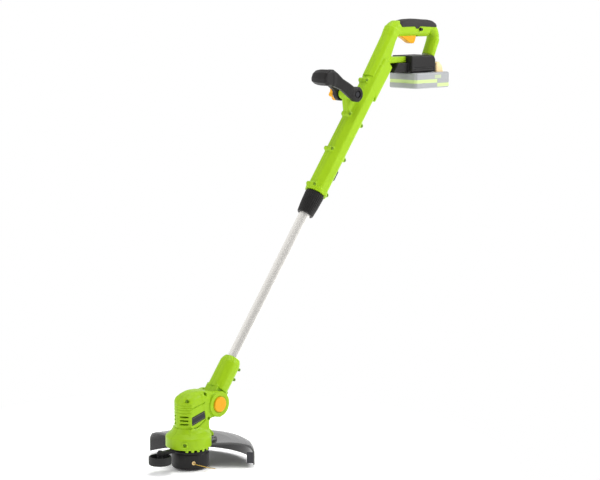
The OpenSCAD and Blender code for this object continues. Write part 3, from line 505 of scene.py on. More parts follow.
def grip_pad(p: Array) -> Array:
    """Soft crowned pad over the grip, swept back over its rear bend, with a thumb tab on each side."""
    x, y, z = p[:, 0], p[:, 1], p[:, 2]
    crown = np.interp(x, [54, 60, 68, 84, 108, 125, 145, 162, 173, 184, 190], [98, 104.5, 109, 111.3, 112, 111.3, 109.8, 109.0, 107.3, 101.5, 96])
    side = 17.4
    top = (z - crown + 0.013 * y * y) * 0.94
    low = np.interp(x, [56, 66, 108, 112, 121, 125, 162, 190], [97, 93.5, 94, 89, 89, 94, 92, 91])
    d = smax(top, np.abs(y) - side, 6.0)
    d = smax(d, (low - z) * 0.9, 1.5)
    slant = 60.0 - x - (z - 100) * 0.45
    d = smax(d, slant, 2.0)
    d = smax(d, x - 184, 3.0)
    hole = barrel(p, 126.5, 87, 3.7, -40, 40, 0.3)
    return cut(cut(d, hole, 0.4), grip_loop(p) + 1.2, 0.3)


def dock_shape(p: Array) -> Array:
    """Dark block that takes the battery, with side ribs and the open channel below."""
    y = p[:, 1]
    d = slab(p, [(82, -10), (165, -10), (165, 18), (161, 25), (155, 27.6), (82, 27.6)], -31, 31, 3.5)
    for z in (-4.5, -0.5):
        groove = smax(np.abs(p[:, 2] - z) - 0.8, 30.0 - np.abs(y), 0.3)
        d = cut(d, smax(groove, np.abs(p[:, 0] - 124) - 36, 0.5), 0.6)
    front = block(p, (30, -20, -10), (84, 20, 12), 2.0)
    slope = (p[:, 0] * math.sin(TILT) - p[:, 2] * math.cos(TILT)) - 32.2
    d = np.minimum(d, smax(front, -slope, 1.0))
    d = cut(d, block(p, (85, -20, -6), (196, 20, 15), 0.6), 0.8)
    d = cut(d, block(p, (85, -16, -14), (196, 16, 0), 0.6), 0.8)
    return cut(d, block(p, (48, -17, -14), (78, 17, 2), 1.0), 0.8)


def battery_shape(p: Array) -> Array:
    """Battery: rounded case with a ribbed front, a stepped side band and the tongue on top."""
    x, y, z = p[:, 0], p[:, 1], p[:, 2]
    plan = smax(smax(np.abs(x - 143.5) - 61.5, np.abs(y) - 43, 8.0), (np.abs(x - 143.5) + np.abs(y) - 99.5) * 0.707, 3)
    d = smax(plan, np.abs(z + 30) - 18, 4.0)
    ribs = 0.5 * (1 + np.cos(2 * math.pi * y / 4.0)) * (x < 89) * (np.abs(z + 23) < 9)
    d = d + 0.55 * ribs
    band = smax(np.abs(z + 31.5 + 6.0 * (x > 158)) - 2.8, -(plan + 0.5), 0.3)
    d = cut(d, band, 0.4)
    d = np.minimum(d, block(p, (90, -15.5, -14), (165, 15.5, -4), 0.8))
    d = np.minimum(d, block(p, (90, -19.5, -5.5), (165, 19.5, 14.5), 1.0))
    d = np.minimum(d, block(p, (165.5, -19.5, -14), (171.5, 19.5, 4), 1.0))
    for at in (-9, 0, 9):
        d = cut(d, block(p, (89, at - 1.3, -7), (101, at + 1.3, 16), 0.3), 0.4)
    return cut(d, block(p, (173, -26.6, -20), (225, 26.6, 20), 1.0), 0.6)


def latch_shape(p: Array) -> Array:
    """Release of the battery: a wedge with finger ribs."""
    d = slab(p, [(173.5, -15), (173.5, 9), (177, 11), (184, 11), (194, 2), (198, -10), (198, -15)], -26, 26, 3.0)
    for k in range(4):
        d = cut(d, barrel(p, 180 + 4 * k, 12.0 - 3.2 * k, 1.0, -22, 22, 0.5), 0.5)
    return d


def loop_handle(p: Array) -> Array:
    """Front handle: two arms that swell into a faceted cross grip, with pierced round ends."""
    x, y, z = p[:, 0], p[:, 1], p[:, 2]
    arm = slab(p, [(6, -15), (-8, -15), (-21, -7), (-46, 12), (-70, 21.5), (-70, 56), (-58, 50), (-42, 36),
                   (-24, 26), (-8, 16), (6, 15)], -200, 200, 1.0)
    slim = slab(p, [(6, -15), (-8, -13), (-14, -4), (-22, 8), (-44, 21), (-66, 30), (-70, 56), (-58, 50), (-42, 36),
                    (-24, 26), (-8, 16), (6, 15)], -200, 200, 1.0)
    arm = np.where(y > 0, slim, arm)
    middle = np.interp(x, [-80, -66, -45, -20], [17.5, 18.5, 21.5, 25])
    arms = smax(arm, np.abs(np.abs(y) - middle) - 6.4, 4.0)
    ends = smax(np.hypot(x, z) - 16.9, np.abs(np.abs(y) - 25) - 6.5, 2.5)
    d = smin(arms, ends, 3.0)
    grip = slab(p, [(-70, 22), (-88, 22), (-97.5, 29), (-98.5, 39), (-93, 51), (-83, 57.6), (-72, 57),
                    (-65.5, 50), (-64, 38), (-65.5, 27)], -200, 200, 1.0)
    fat = 5.0 * np.clip((y + 4) / 30.0, 0, 1) ** 2
    grip = smax(grip + fat, np.abs(y) - 25.5, 7.0)
    d = smin(d, grip, 6.0)
    d = cut(d, smax(np.abs(y) - 18.4 + np.clip(-x - 20, 0, 46) * 0.14, -(x + 62), 3.0), 2.0)
    d = cut(d, np.hypot(x, z) - 3.2, 0.4)
    return cut(d, barrel(p, 0, 0, 9.2, -41, -27.5, 0.6), 1.0)


def knob_shape(p: Array) -> Array:
    """Clamping knob with five rounded lobes."""
    d = barrel(p, 0, 0, 12.4, 33.5, 45.4, 2.0)
    for k in range(5):
        a = math.radians(-(72 * k + 20))
        d = smin(d, barrel(p, 12 * math.cos(a), 12 * math.sin(a), 4.7, 34.6, 45.4, 2.0), 3.0)
    d = cut(d, barrel(p, 0, 0, 5.5, 43.6, 50, 0.6), 0.8)
    return cut(d, barrel(p, 0, 0, 3.2, 20, 43, 0.2), 0.3)


def trigger_shape(p: Array) -> Array:
    """Trigger: a finger blade with a hollowed front."""
    d = slab(p, [(61, 83), (65, 76), (71, 71.5), (85, 65), (97, 58), (104, 55), (114, 55), (118, 60), (122, 71),
                 (120, 78), (111, 81.5), (87, 84), (71, 92)], -8, 8, 2.4)
    d = smin(d, barrel(p, 67, 88, 5.5, -8, 8, 0.8), 1.0)
    return cut(d, barrel(p, 67, 88, 2.1, -20, 20, 0.2), 0.2)


def tab_shape(p: Array) -> Array:
    """Lock tab under the housing."""
    d = slab(p, [(20, 575), (25.5, 575), (28.5, 577.5), (28.5, 599.5), (25.5, 602), (20, 602)], -7, 7, 1.2)
    d = np.minimum(d, block(p, (18.9, -7, 572), (20.1, 7, 605), 0.4))
    for s in (582, 585.5, 589, 592.5, 596):
        d = cut(d, barrel(p, 28.9, s, 0.9, -5.5, 5.5, 0.3), 0.4)
    return d


# ---- shapes of the neck and head ----


def neck_shape(p: Array) -> Array:
    """Neck sleeve: faceted, shouldered at the top, with the knuckle below."""
    x, y, s = p[:, 0], p[:, 1], p[:, 2]
    shrink = np.interp(s, [30, 94, 101, 108], [0.0, 0.0, 2.2, 6.0])
    d = section(x, y, 21.0, 22.0, 11.5, 4.0) + shrink
    d = smax(d, np.abs(s - 69.2) - 38.8, 2.0)
    knuckle = smax(np.abs(x) - 19, np.abs(y) - 16.4, 1.0)
    knuckle = smax(knuckle, np.abs(s - 18) - 18, 1.0)
    d = np.minimum(d, knuckle)
    d = np.minimum(d, barrel(p, 0, 0, 25.8, -16.4, 16.4, 1.0))
    d = cut(d, smax(np.hypot(x, y) - 12.7, 48 - s, 0.3), 0.5)
    d = cut(d, barrel(p, 0, 0, 8.1, -40, 40, 0.3), 0.4)
    for s0 in (66, 90):
        d = cut(d, barrel(p, 16.9, s0, 3.4, -24, -16, 0.3), 0.6)
    return d


PLATE_Z = 47.0
BODY_TOP = 164.0


def motor_body(p: Array) -> Array:
    """Upright motor housing with its rounded front and domed top."""
    x, y, z = p[:, 0], p[:, 1], p[:, 2]
    front = np.where(x < -6, np.hypot(x + 6, y) - 29.0, np.abs(y) - 29.0)
    d = smax(front, np.abs(y) - 26.0, 1.6)
    d = smax(d, x - 34.0, 6.0)
    top = np.interp(x, [-35, -30, -22, -12, 0, 8, 24, 36], [144.5, 150, 156, 160.5, 163.4, 164, 163, 158])
    top = top - 11.0 * np.clip((np.abs(y) - 8) / 18.0, 0, 1) ** 2.2
    d = smax(d, (z - top) * 0.86, 5.0)
    return smax(d, 60 - z, 1.0)


def skirt(p: Array) -> Array:
    """Skirt: an upright rim and a flare that rises to the motor housing."""
    return turned(p, -5, 0, [
        (0, PLATE_Z), (SKIRT_R - 1.0, PLATE_Z), (SKIRT_R, PLATE_Z + 1.2), (SKIRT_R, 68), (SKIRT_R - 1, 70.5),
        (SKIRT_R - 7, 75.5), (SKIRT_R - 12, 79), (SKIRT_R - 15, 83), (SKIRT_R - 18, 86), (0, 88)])


def head_shape(p: Array) -> Array:
    """Whole green head: motor housing, skirt, pivot cheeks, wing, boss and teeth, less its openings."""
    x, y, z = p[:, 0], p[:, 1], p[:, 2]
    d = smin(motor_body(p), skirt(p), 6.0)
    # side panels that run down from the label onto the flare
    panel = slab(p, [(-20, 98), (-27, 80), (-34, 62), (24, 62), (30, 84), (27, 104)], -40, 40, 2.0)
    lean = np.abs(y) - np.interp(z, [60, 70, 82, 96, 104], [39, 37, 30.0, 26.6, 25.5])
    d = smin(d, smax(panel, lean * 0.9, 2.0), 2.0)
    arms = slab(p, [(20, 100), (50, 103.5), (66, 99.5), (71, 106.5), (64, 128), (62, 156), (48, 157.5), (26, 159.5),
                    (12, 157.5)], -25, 25, 4.0)
    d = smin(d, arms, 5.0)
    cheeks = barrel(p, 58, 130, 27.4, -30, 30, 2.2)
    d = smin(d, cheeks, 1.6)
    # shallow dish round the button
    d = cut(d, smax(np.hypot(x - 58, z - 130) - 19.5, np.abs(np.abs(y) - 30.6) - 1.2, 0.8), 0.8)
    wing = slab(p, [(20, 61), (52.5, 61), (52.5, 67), (43, 77), (20, 83)], -17, 17, 2.5)
    d = smin(d, wing, 3.0)
    q = spun(p + np.array([5.0, 0, 0]), 220)
    boss = smax(np.hypot(q[:, 1], q[:, 2] - 59) - 6.0, np.abs(q[:, 0] - 30) - 21.0, 1.2)
    d = smin(d, boss, 1.2)
    for a in range(225, 290, 15):
        t = spun(p + np.array([5.0, 0, 0]), a)
        d = smin(d, block(t, (SKIRT_R - 3.1, -3, PLATE_Z - 4), (SKIRT_R - 0.4, 3, PLATE_Z + 3), 1.2), 0.8)
    return head_openings(p, q, d)


def head_openings(p: Array, q: Array, d: Array) -> Array:
    """Takes the vents, grooves, recesses and hollows out of the head."""
    x, y, z = p[:, 0], p[:, 1], p[:, 2]
    for at in (97, 105, 113):
        d = cut(d, block(np.stack([x, np.abs(y), z], 1), (-50, 6, at), (-17, 22, at + 3), 1.2), 0.8)
    ring = -(motor_body(p) + 0.9)
    for at, half in ((90, 1.0), (123, 0.9), (129.5, 0.6), (134.5, 0.6), (139.5, 0.6)):
        band = smax(np.abs(z - at) - half, x + 17.5, 0.5)
        d = cut(d, smax(band, ring, 0.4), 0.7)
    near = smax(y + 24.4, -(y + 30), 0.2)
    up = z - 131.5 - (x + 18) * 0.24
    d = cut(d, smax(smax(np.abs(up) - 0.9, np.abs(x) - 18.5, 0.4), near, 0.3), 0.7)
    curve = z - 89.5 - 0.0115 * (x + 14) ** 2
    d = cut(d, smax(smax(np.abs(curve) - 0.9, np.abs(x - 4) - 17, 0.4), np.abs(motor_body(p)) - 3, 0.3), 0.7)
    label = slab(p, [(-17.3, 95.2), (20.3, 105.7), (17.8, 122.4), (-17.3, 113.4)], -30, -25.1, 0.2)
    d = cut(d, label, 0.3)
    d = cut(d, smax(np.hypot(q[:, 1], q[:, 2] - 59) - 3.7, np.abs(q[:, 0] - 54) - 7, 0.4), 0.8)
    d = cut(d, post(p, 0, 0, 21.0, 40, 126, 0.5), 0.5)
    d = cut(d, post(p, -5, 0, SKIRT_R - 2.6, 30, 62, 2.0), 0.6)
    slot = smax(np.hypot(x - 58, z - 130) - 29.1, np.abs(y) - 16.9, 0.4)
    slot = np.minimum(slot, block(p, (58, -16.9, 120), (130, 16.9, 230), 0.3))
    d = cut(d, slot, 0.8)
    d = cut(d, barrel(p, 58, 130, 16.85, -40, -19.3, 0.3), 0.8)
    d = cut(d, barrel(p, 58, 130, 8.0, 10, 27.6, 0.2), 0.3)
    for at in (-9, 9):
        d = cut(d, post(p, 46.5, at, 3.5, 64, 90, 0.3), 0.6)
    for sx, sz in ((29, 104), (-24.5, 148), (22, 156.5)):
        d = cut(d, barrel(p, sx, sz, 3.5, -32, -17, 0.3), 0.7)
    return d


def bracket_shape(p: Array) -> Array:
    """Arm that carries the edge wheel, with its capped boss."""
    d = block(p, (WHEEL_X, -5, PLATE_Z - 3), (-SPOOL_R + 10, 5, PLATE_Z), 0.8)
    d = smin(d, block(p, (WHEEL_X, -5, 39), (-SPOOL_R - 5, 5, PLATE_Z - 1), 1.6), 1.0)
    d = smin(d, post(p, WHEEL_X, 0, 6.4, 38.6, PLATE_Z, 1.0), 1.5)
    d = smin(d, post(p, WHEEL_X, 0, 4.6, PLATE_Z - 1, PLATE_Z + 3, 1.2), 1.5)
    return cut(d, post(p, WHEEL_X, 0, 3.0, 0, PLATE_Z, 0.2), 0.2)


# ---- finishes ----


class Finish:
    """A procedural surface, built from shader nodes in object space.

    Args:
        name: material name.
        color: base colour, linear red, green and blue.
        rough: mean roughness.
        metal: 1 for a metal, 0 for the rest.
        coat: strength of a clear top layer.
        grain: size of the surface grain, as a noise scale per metre.
        relief: strength of the grain.
        spread: how far the colour wanders, as a share of it.
        shine: strength of the mirror part of a plastic.
    """

    def __init__(self, name: str, color: tuple[float, float, float], rough: float = 0.45, metal: float = 0.0,
                 coat: float = 0.0, grain: float = 900.0, relief: float = 0.06, spread: float = 0.08,
                 shine: float = 0.18) -> None:
        self.mat = bpy.data.materials.new(name)
        self.mat.use_nodes = True
        self.tree = self.mat.node_tree
        self.tree.nodes.clear()
        self.color = color
        self.out = self.node("ShaderNodeOutputMaterial")
        self.bsdf = self.node("ShaderNodeBsdfPrincipled")
        self.tree.links.new(self.bsdf.outputs["BSDF"], self.out.inputs["Surface"])
        self.bsdf.inputs["Metallic"].default_value = metal
        self.bsdf.inputs["Specular IOR Level"].default_value = 0.5 if metal else shine
        self.bsdf.inputs["Coat Weight"].default_value = coat
        self.bsdf.inputs["Coat Roughness"].default_value = 0.12
        self.wear = self.node("ShaderNodeGroup")
        self.wear.node_tree = surface_group()
        values = {"Rough": rough, "Grain": grain, "Relief": relief, "Spread": spread}
        for key, value in values.items():
            self.wear.inputs[key].default_value = value
        self.wear.inputs["Color"].default_value = (*color, 1.0)
        self.link(self.wear.outputs["Color"], self.bsdf.inputs["Base Color"])
        self.link(self.wear.outputs["Rough"], self.bsdf.inputs["Roughness"])
        self.link(self.wear.outputs["Normal"], self.bsdf.inputs["Normal"])

    def node(self, kind: str) -> bpy.types.Node:
        """Adds a shader node."""
        return self.tree.nodes.new(kind)

    def link(self, a: bpy.types.NodeSocket, b: bpy.types.NodeSocket) -> None:
        """Joins two sockets."""
        self.tree.links.new(a, b)

    def math(self, op: str, a, b=None) -> bpy.types.NodeSocket:
        """Adds a maths node on sockets or numbers and returns its result."""
        n = self.node("ShaderNodeMath")
        n.operation = op
        for k, value in enumerate((a, b)):
            if value is None:
                continue
            if isinstance(value, (int, float)):
                n.inputs[k].default_value = value
            else:
                self.link(value, n.inputs[k])
        return n.outputs[0]

    def axes(self) -> tuple[bpy.types.NodeSocket, ...]:
        """Returns the three object coordinates as sockets."""
        tex = self.node("ShaderNodeTexCoord")
        sep = self.node("ShaderNodeSeparateXYZ")
        self.link(tex.outputs["Object"], sep.inputs[0])
        return tuple(sep.outputs)

    def tint(self, mask: bpy.types.NodeSocket, color: tuple[float, float, float]) -> None:
        """Lays a second colour over the base where mask is 1."""
        mix = self.node("ShaderNodeMix")
        mix.data_type = "RGBA"
        source = self.bsdf.inputs["Base Color"].links[0].from_socket
        self.link(mask, mix.inputs["Factor"])
        self.link(source, mix.inputs["A"])
        mix.inputs["B"].default_value = (*color, 1.0)
        self.link(mix.outputs["Result"], self.bsdf.inputs["Base Color"])

    def band(self, value: bpy.types.NodeSocket, centre: float, half: float) -> bpy.types.NodeSocket:
        """Returns 1 where value lies within half of centre."""
        away = self.math("ABSOLUTE", self.math("SUBTRACT", value, centre))
        return self.math("LESS_THAN", away, half)


def surface_group() -> bpy.types.NodeTree:
    """Node group shared by all finishes: wandering colour, uneven roughness and a fine moulded grain."""
    name = "moulded_surface"
    if name in bpy.data.node_groups:
        return bpy.data.node_groups[name]
    g = bpy.data.node_groups.new(name, "ShaderNodeTree")
    for label, kind, value in (("Color", "NodeSocketColor", None), ("Rough", "NodeSocketFloat", 0.5),
                               ("Grain", "NodeSocketFloat", 900.0), ("Relief", "NodeSocketFloat", 0.06),
                               ("Spread", "NodeSocketFloat", 0.08)):
        s = g.interface.new_socket(label, in_out="INPUT", socket_type=kind)
        if value is not None:
            s.default_value = value
    for label, kind in (("Color", "NodeSocketColor"), ("Rough", "NodeSocketFloat"), ("Normal", "NodeSocketVector")):
        g.interface.new_socket(label, in_out="OUTPUT", socket_type=kind)
    n = g.nodes
    gin, gout = n.new("NodeGroupInput"), n.new("NodeGroupOutput")
    tex = n.new("ShaderNodeTexCoord")
    wide, fine = n.new("ShaderNodeTexNoise"), n.new("ShaderNodeTexNoise")
    wide.inputs["Scale"].default_value = 22.0
    wide.inputs["Detail"].default_value = 5.0
    fine.inputs["Detail"].default_value = 2.0
    g.links.new(tex.outputs["Object"], wide.inputs["Vector"])
    g.links.new(tex.outputs["Object"], fine.inputs["Vector"])
    g.links.new(gin.outputs["Grain"], fine.inputs["Scale"])

    def calc(op: str, a, b) -> bpy.types.NodeSocket:
        m = n.new("ShaderNodeMath")
        m.operation = op
        for k, value in enumerate((a, b)):
            if isinstance(value, (int, float)):
                m.inputs[k].default_value = value
            else:
                g.links.new(value, m.inputs[k])
        return m.outputs[0]

    drift = calc("SUBTRACT", wide.outputs["Fac"], 0.5)
    gain = calc("ADD", calc("MULTIPLY", drift, gin.outputs["Spread"]), 1.0)
    scale = n.new("ShaderNodeVectorMath")
    scale.operation = "SCALE"
    g.links.new(gin.outputs["Color"], scale.inputs[0])
    g.links.new(gain, scale.inputs["Scale"])
    g.links.new(scale.outputs["Vector"], gout.inputs["Color"])
    g.links.new(calc("ADD", gin.outputs["Rough"], calc("MULTIPLY", drift, 0.18)), gout.inputs["Rough"])
    bump = n.new("ShaderNodeBump")
    bump.inputs["Distance"].default_value = 0.0004
    g.links.new(fine.outputs["Fac"], bump.inputs["Height"])
    g.links.new(gin.outputs["Relief"], bump.inputs["Strength"])
    g.links.new(bump.outputs["Normal"], gout.inputs["Normal"])
    return g


def lime_finish() -> Finish:
    """Lime moulded shell with a thin parting line on the middle plane."""
    f = Finish("lime_shell", (0.335, 0.56, 0.010), rough=0.38, grain=1400, relief=0.05, spread=0.05)
    _, y, _ = f.axes()
    f.tint(f.math("MULTIPLY", f.band(y, 0.0, 0.00028), 0.75), (0.10, 0.22, 0.004))
    return f


def battery_finish() -> Finish:
    """Pale battery case with its light band and a plain printed field."""
    f = Finish("battery_case", (0.38, 0.39, 0.40), rough=0.4, grain=1200, relief=0.05)
    x, y, z = f.axes()
    base = (KNEE[2] - 31.5) / 1000
    drop = f.math("MULTIPLY", f.math("GREATER_THAN", x, (KNEE[0] + 158) / 1000), -0.0095)
    low = f.math("SUBTRACT", f.math("SUBTRACT", z, base), drop)
    f.tint(f.math("LESS_THAN", f.math("ABSOLUTE", low), 0.0040), (0.60, 0.74, 0.32))
    side = f.math("LESS_THAN", y, -0.0355)
    field_z = f.band(z, (KNEE[2] - 21.5) / 1000, 0.004)
    field_x = f.band(x, (KNEE[0] + 160) / 1000, 0.011)
    spot = f.math("MULTIPLY", side, f.math("MULTIPLY", field_z, field_x))
    f.tint(f.math("MULTIPLY", spot, 0.7), (0.56, 0.66, 0.36))
    return f


def label_finish() -> Finish:
    """Dark glossy plate with a thin pale border."""
    f = Finish("label_plate", (0.022, 0.022, 0.028), rough=0.3, coat=0.1, grain=600, relief=0.02)
    x, _, z = f.axes()
    low = f.math("ADD", f.math("MULTIPLY", x, 0.28), 0.1029)
    high = f.math("ADD", f.math("MULTIPLY", x, 0.26), 0.1148)
    near_low = f.math("LESS_THAN", f.math("ABSOLUTE", f.math("SUBTRACT", z, low)), 0.0005)
    near_high = f.math("LESS_THAN", f.math("ABSOLUTE", f.math("SUBTRACT", z, high)), 0.0005)
    f.tint(f.math("MULTIPLY", f.math("MAXIMUM", near_low, near_high), 0.6), (0.20, 0.22, 0.10))
    return f


def brushed(name: str, color: tuple[float, float, float], rough: float) -> Finish:
    """Metal with fine scratches, stretched along the part's length."""
    f = Finish(name, color, rough=rough, metal=1.0, grain=2200, relief=0.05, spread=0.10)
    f.bsdf.inputs["Anisotropic"].default_value = 0.4
    return f


def tube_finish() -> Finish:
    """Satin aluminium, part mirror and part pale scatter."""
    f = Finish("tube_aluminium", (0.90, 0.875, 0.83), rough=0.26, metal=1.0, grain=12, relief=0.0, spread=0.0)
    f.bsdf.inputs["Metallic"].default_value = 0.55
    return f


def finishes() -> dict[Look, bpy.types.Material]:
    """Builds every finish of the object."""
    return {
        Look.LIME: lime_finish().mat,
        Look.BLACK: Finish("black_plastic", (0.018, 0.017, 0.017), rough=0.42, grain=1800, relief=0.10).mat,
        Look.GUARD: Finish("guard_plastic", (0.016, 0.015, 0.015), rough=0.24, coat=0.9, grain=700, relief=0.03,
                           shine=0.5).mat,
        Look.ORANGE: Finish("orange_plastic", (0.84, 0.40, 0.010), rough=0.34, grain=1200).mat,
        Look.GRIP: Finish("soft_grip", (0.036, 0.033, 0.033), rough=0.62, grain=2600, relief=0.30, spread=0.15).mat,
        Look.TUBE: tube_finish().mat,
        Look.STEEL: brushed("steel", (0.60, 0.60, 0.62), 0.32).mat,
        Look.BRASS: brushed("brass", (0.60, 0.42, 0.20), 0.30).mat,
        Look.JACKET: Finish("cable_jacket", (0.012, 0.012, 0.012), rough=0.6).mat,
        Look.WIRE: Finish("wire_red", (0.40, 0.02, 0.015), rough=0.45).mat,
        Look.BATTERY: battery_finish().mat,
        Look.LATCH: Finish("latch_plastic", (1.0, 0.76, 0.42), rough=0.4).mat,
        Look.LABEL: label_finish().mat,
        Look.WHITE: Finish("white_plastic", (0.70, 0.69, 0.66), rough=0.5).mat,
        Look.MOTOR: brushed("motor_steel", (0.55, 0.55, 0.57), 0.36).mat,
        Look.FERRITE: Finish("ferrite", (0.035, 0.035, 0.04), rough=0.7, grain=3000, relief=0.3).mat,
        Look.SPOOL: Finish("spool_red", (0.62, 0.08, 0.02), rough=0.42).mat,
        Look.LINE: Finish("nylon_line", (0.52, 0.33, 0.05), rough=0.32, grain=1500, relief=0.05).mat,
        Look.COPPER: brushed("copper", (0.75, 0.36, 0.20), 0.4).mat,
        Look.WHEEL: Finish("wheel_plastic", (0.026, 0.026, 0.026), rough=0.5, grain=1600, relief=0.15).mat,
    }


# ---- pieces ----


def collar_ribs(a: Array, r: Array, z: Array) -> Array:
    """Fine grip ribs round the outside of the twist collar."""
    outside = (r > TUBE_R + 5.0) & (z > 477) & (z < 520)
    return np.where(outside, -0.9 * np.abs(np.sin(a * 14)) ** 6, 0.0)


def hub_ribs(a: Array, r: Array, z: Array) -> Array:
    """Shallow upright ribs on the spool hub."""
    outside = (r > SPOOL_R - 0.3) & (z > 6) & (z < 33)
    return np.where(outside, -0.25 * np.abs(np.sin(a * 30)) ** 4, 0.0)


def tread(a: Array, r: Array, z: Array) -> Array:
    """Shallow tread on the edge wheel."""
    return np.where(r > WHEEL_R - 0.4, -0.3 * np.abs(np.sin(a * 24)) ** 4, 0.0)


def moulded_pieces() -> list[Moulded]:
    """Lists every moulded piece with its grid."""
    return [
        Moulded("lower_housing", lower_housing, (-62, -26, 524), (34, 26, 886), 1.15, SHAFT, "housing",
                ["housing_near", "housing_far"], Look.LIME),
        Moulded("grip_loop", grip_loop, (-50, -19, -40), (206, 19, 110), 1.15, HANDLE, "housing", [], Look.LIME),
        Moulded("pad_surface", grip_pad, (52, -19, 82), (190, 19, 113), 0.9, HANDLE, "housing", ["grip_pad"], Look.GRIP),
        Moulded("dock_case", dock_shape, (28, -32, -11), (166, 32, 28.6), 0.9, HANDLE, "housing", ["battery_dock"], Look.BLACK),
        Moulded("battery_case", battery_shape, (81, -44, -49), (206, 44, 16), 0.9, HANDLE, "battery", ["battery"], Look.BATTERY),
        Moulded("latch_wedge", latch_shape, (172, -27, -16), (199, 27, 12), 0.6, HANDLE, "latch", ["battery_latch"], Look.LATCH),
        Moulded("loop_handle", loop_handle, (-100, -39, -19), (19, 39, 60), 0.9, LOOP_FRAME, "loop", ["front_handle"], Look.BLACK),
        Moulded("clamp_knob", knob_shape, (-18, 33, -18), (18, 46, 18), 0.6, LOOP_FRAME, "knob", ["handle_knob"], Look.ORANGE),
        Moulded("trigger_blade", trigger_shape, (60, -9, 54), (123, 9, 94), 0.6, HANDLE, "trigger", ["trigger"], Look.ORANGE),
        Moulded("lock_tab", tab_shape, (18, -8, 571), (30, 8, 606), 0.5, SHAFT, "turn_lock", ["turn_lock_tab"], Look.BLACK),
        Moulded("neck_sleeve", neck_shape, (-27, -23, -27), (27, 23, 109), 0.9, SHAFT, "shaft", ["neck"], Look.LIME),
        Moulded("head_case", head_shape, (-55, -51, 42), (87, 51, 166), 0.9, WORLD, "head",
                ["head_shell_near", "head_shell_far"], Look.LIME),
        Moulded("wheel_arm", bracket_shape, (WHEEL_X - 8, -8, 37), (-28, 8, 51), 0.6, WORLD, "head", ["wheel_bracket"], Look.BLACK),
    ]


def lathed_pieces() -> list[Lathed]:
    """Lists every turned piece."""
    t = TUBE_R
    button = Place(np.array([58.0, 0.0, 130.0]), np.array([[1.0, 0, 0], [0, 0, 1.0], [0, -1.0, 0]]))
    wheel = Place(np.array([WHEEL_X, 0, 21.0]), np.eye(3))
    return [
        Lathed("collar_grip", [(t + 0.5, 471.5), (t + 4.8, 471.5), (t + 6.2, 473.5), (t + 8.2, 495), (t + 9.3, 519),
                               (t + 9.3, 524), (t + 8.4, 525), (15.37, 525), (15.37, 476.5), (t + 0.5, 476.5)],
               SHAFT, "collar", ["twist_collar"], Look.BLACK, 256, collar_ribs, 0.6),
        Lathed("spool_hub_case", [(2.5, 24), (6, 24), (6, 39.5), (37.1, 39.5), (37.1, 5.6), (39.7, 5.6), (39.7, 15),
                                  (39.7, 33), (38.4, 34.5), (38.4, 37), (39.4, 38), (39.2, 39.5), (37.7, 42), (9, 42),
                                  (8, 45), (2.5, 45)], WORLD, "spool", ["spool_hub"], Look.BLACK, 360, hub_ribs, 0.7),
        Lathed("spool_cap_case", [(0.01, 0), (33, 0), (36.5, 0.8), (38.6, 2.6), (39.7, 5.4), (35.9, 5.4), (35, 2.6),
                                  (8, 2.6), (8, 9), (0.01, 9)], WORLD, "spool", ["spool_cap"], Look.BLACK, 160, None, 1.0),
        Lathed("wheel_rim", [(3.07, 0.8), (6, 0.8), (7, 2), (21, 2), (23, 0), (24, 1.5), (24, 15.5), (23, 17),
                             (20.6, 17), (20.4, 4.6), (6, 4.6), (6, 17), (3.07, 17)],
               wheel, "wheel", ["edge_wheel"], Look.WHEEL, 240, tread, 0.7),
        Lathed("tilt_button_cap", [(0.01, 32.2), (8, 32.45), (15.4, 32.45), (16.7, 31.2), (16.7, 25), (14.3, 25),
                                   (14.3, 30), (0.01, 30)], button, "tilt_button", ["tilt_button"], Look.ORANGE, 96, None, 0.8),
        Lathed("guard_shell", [(43.6, 48.2), (70, 49.5), (88, 50.5), (104, 49.8), (118, 47.5), (127, 43.6), (132, 38),
                               (134, 31), (134, 7.2), (135.4, 6), (137, 7.2), (137, 33), (134.6, 41), (129, 47),
                               (119, 51), (104, 53.4), (88, 54.2), (70, 53.4), (43.6, 51.6)],
               WORLD, "head", ["guard"], Look.GUARD, 150, None, 1.6, -50.0, 139.0),
    ]


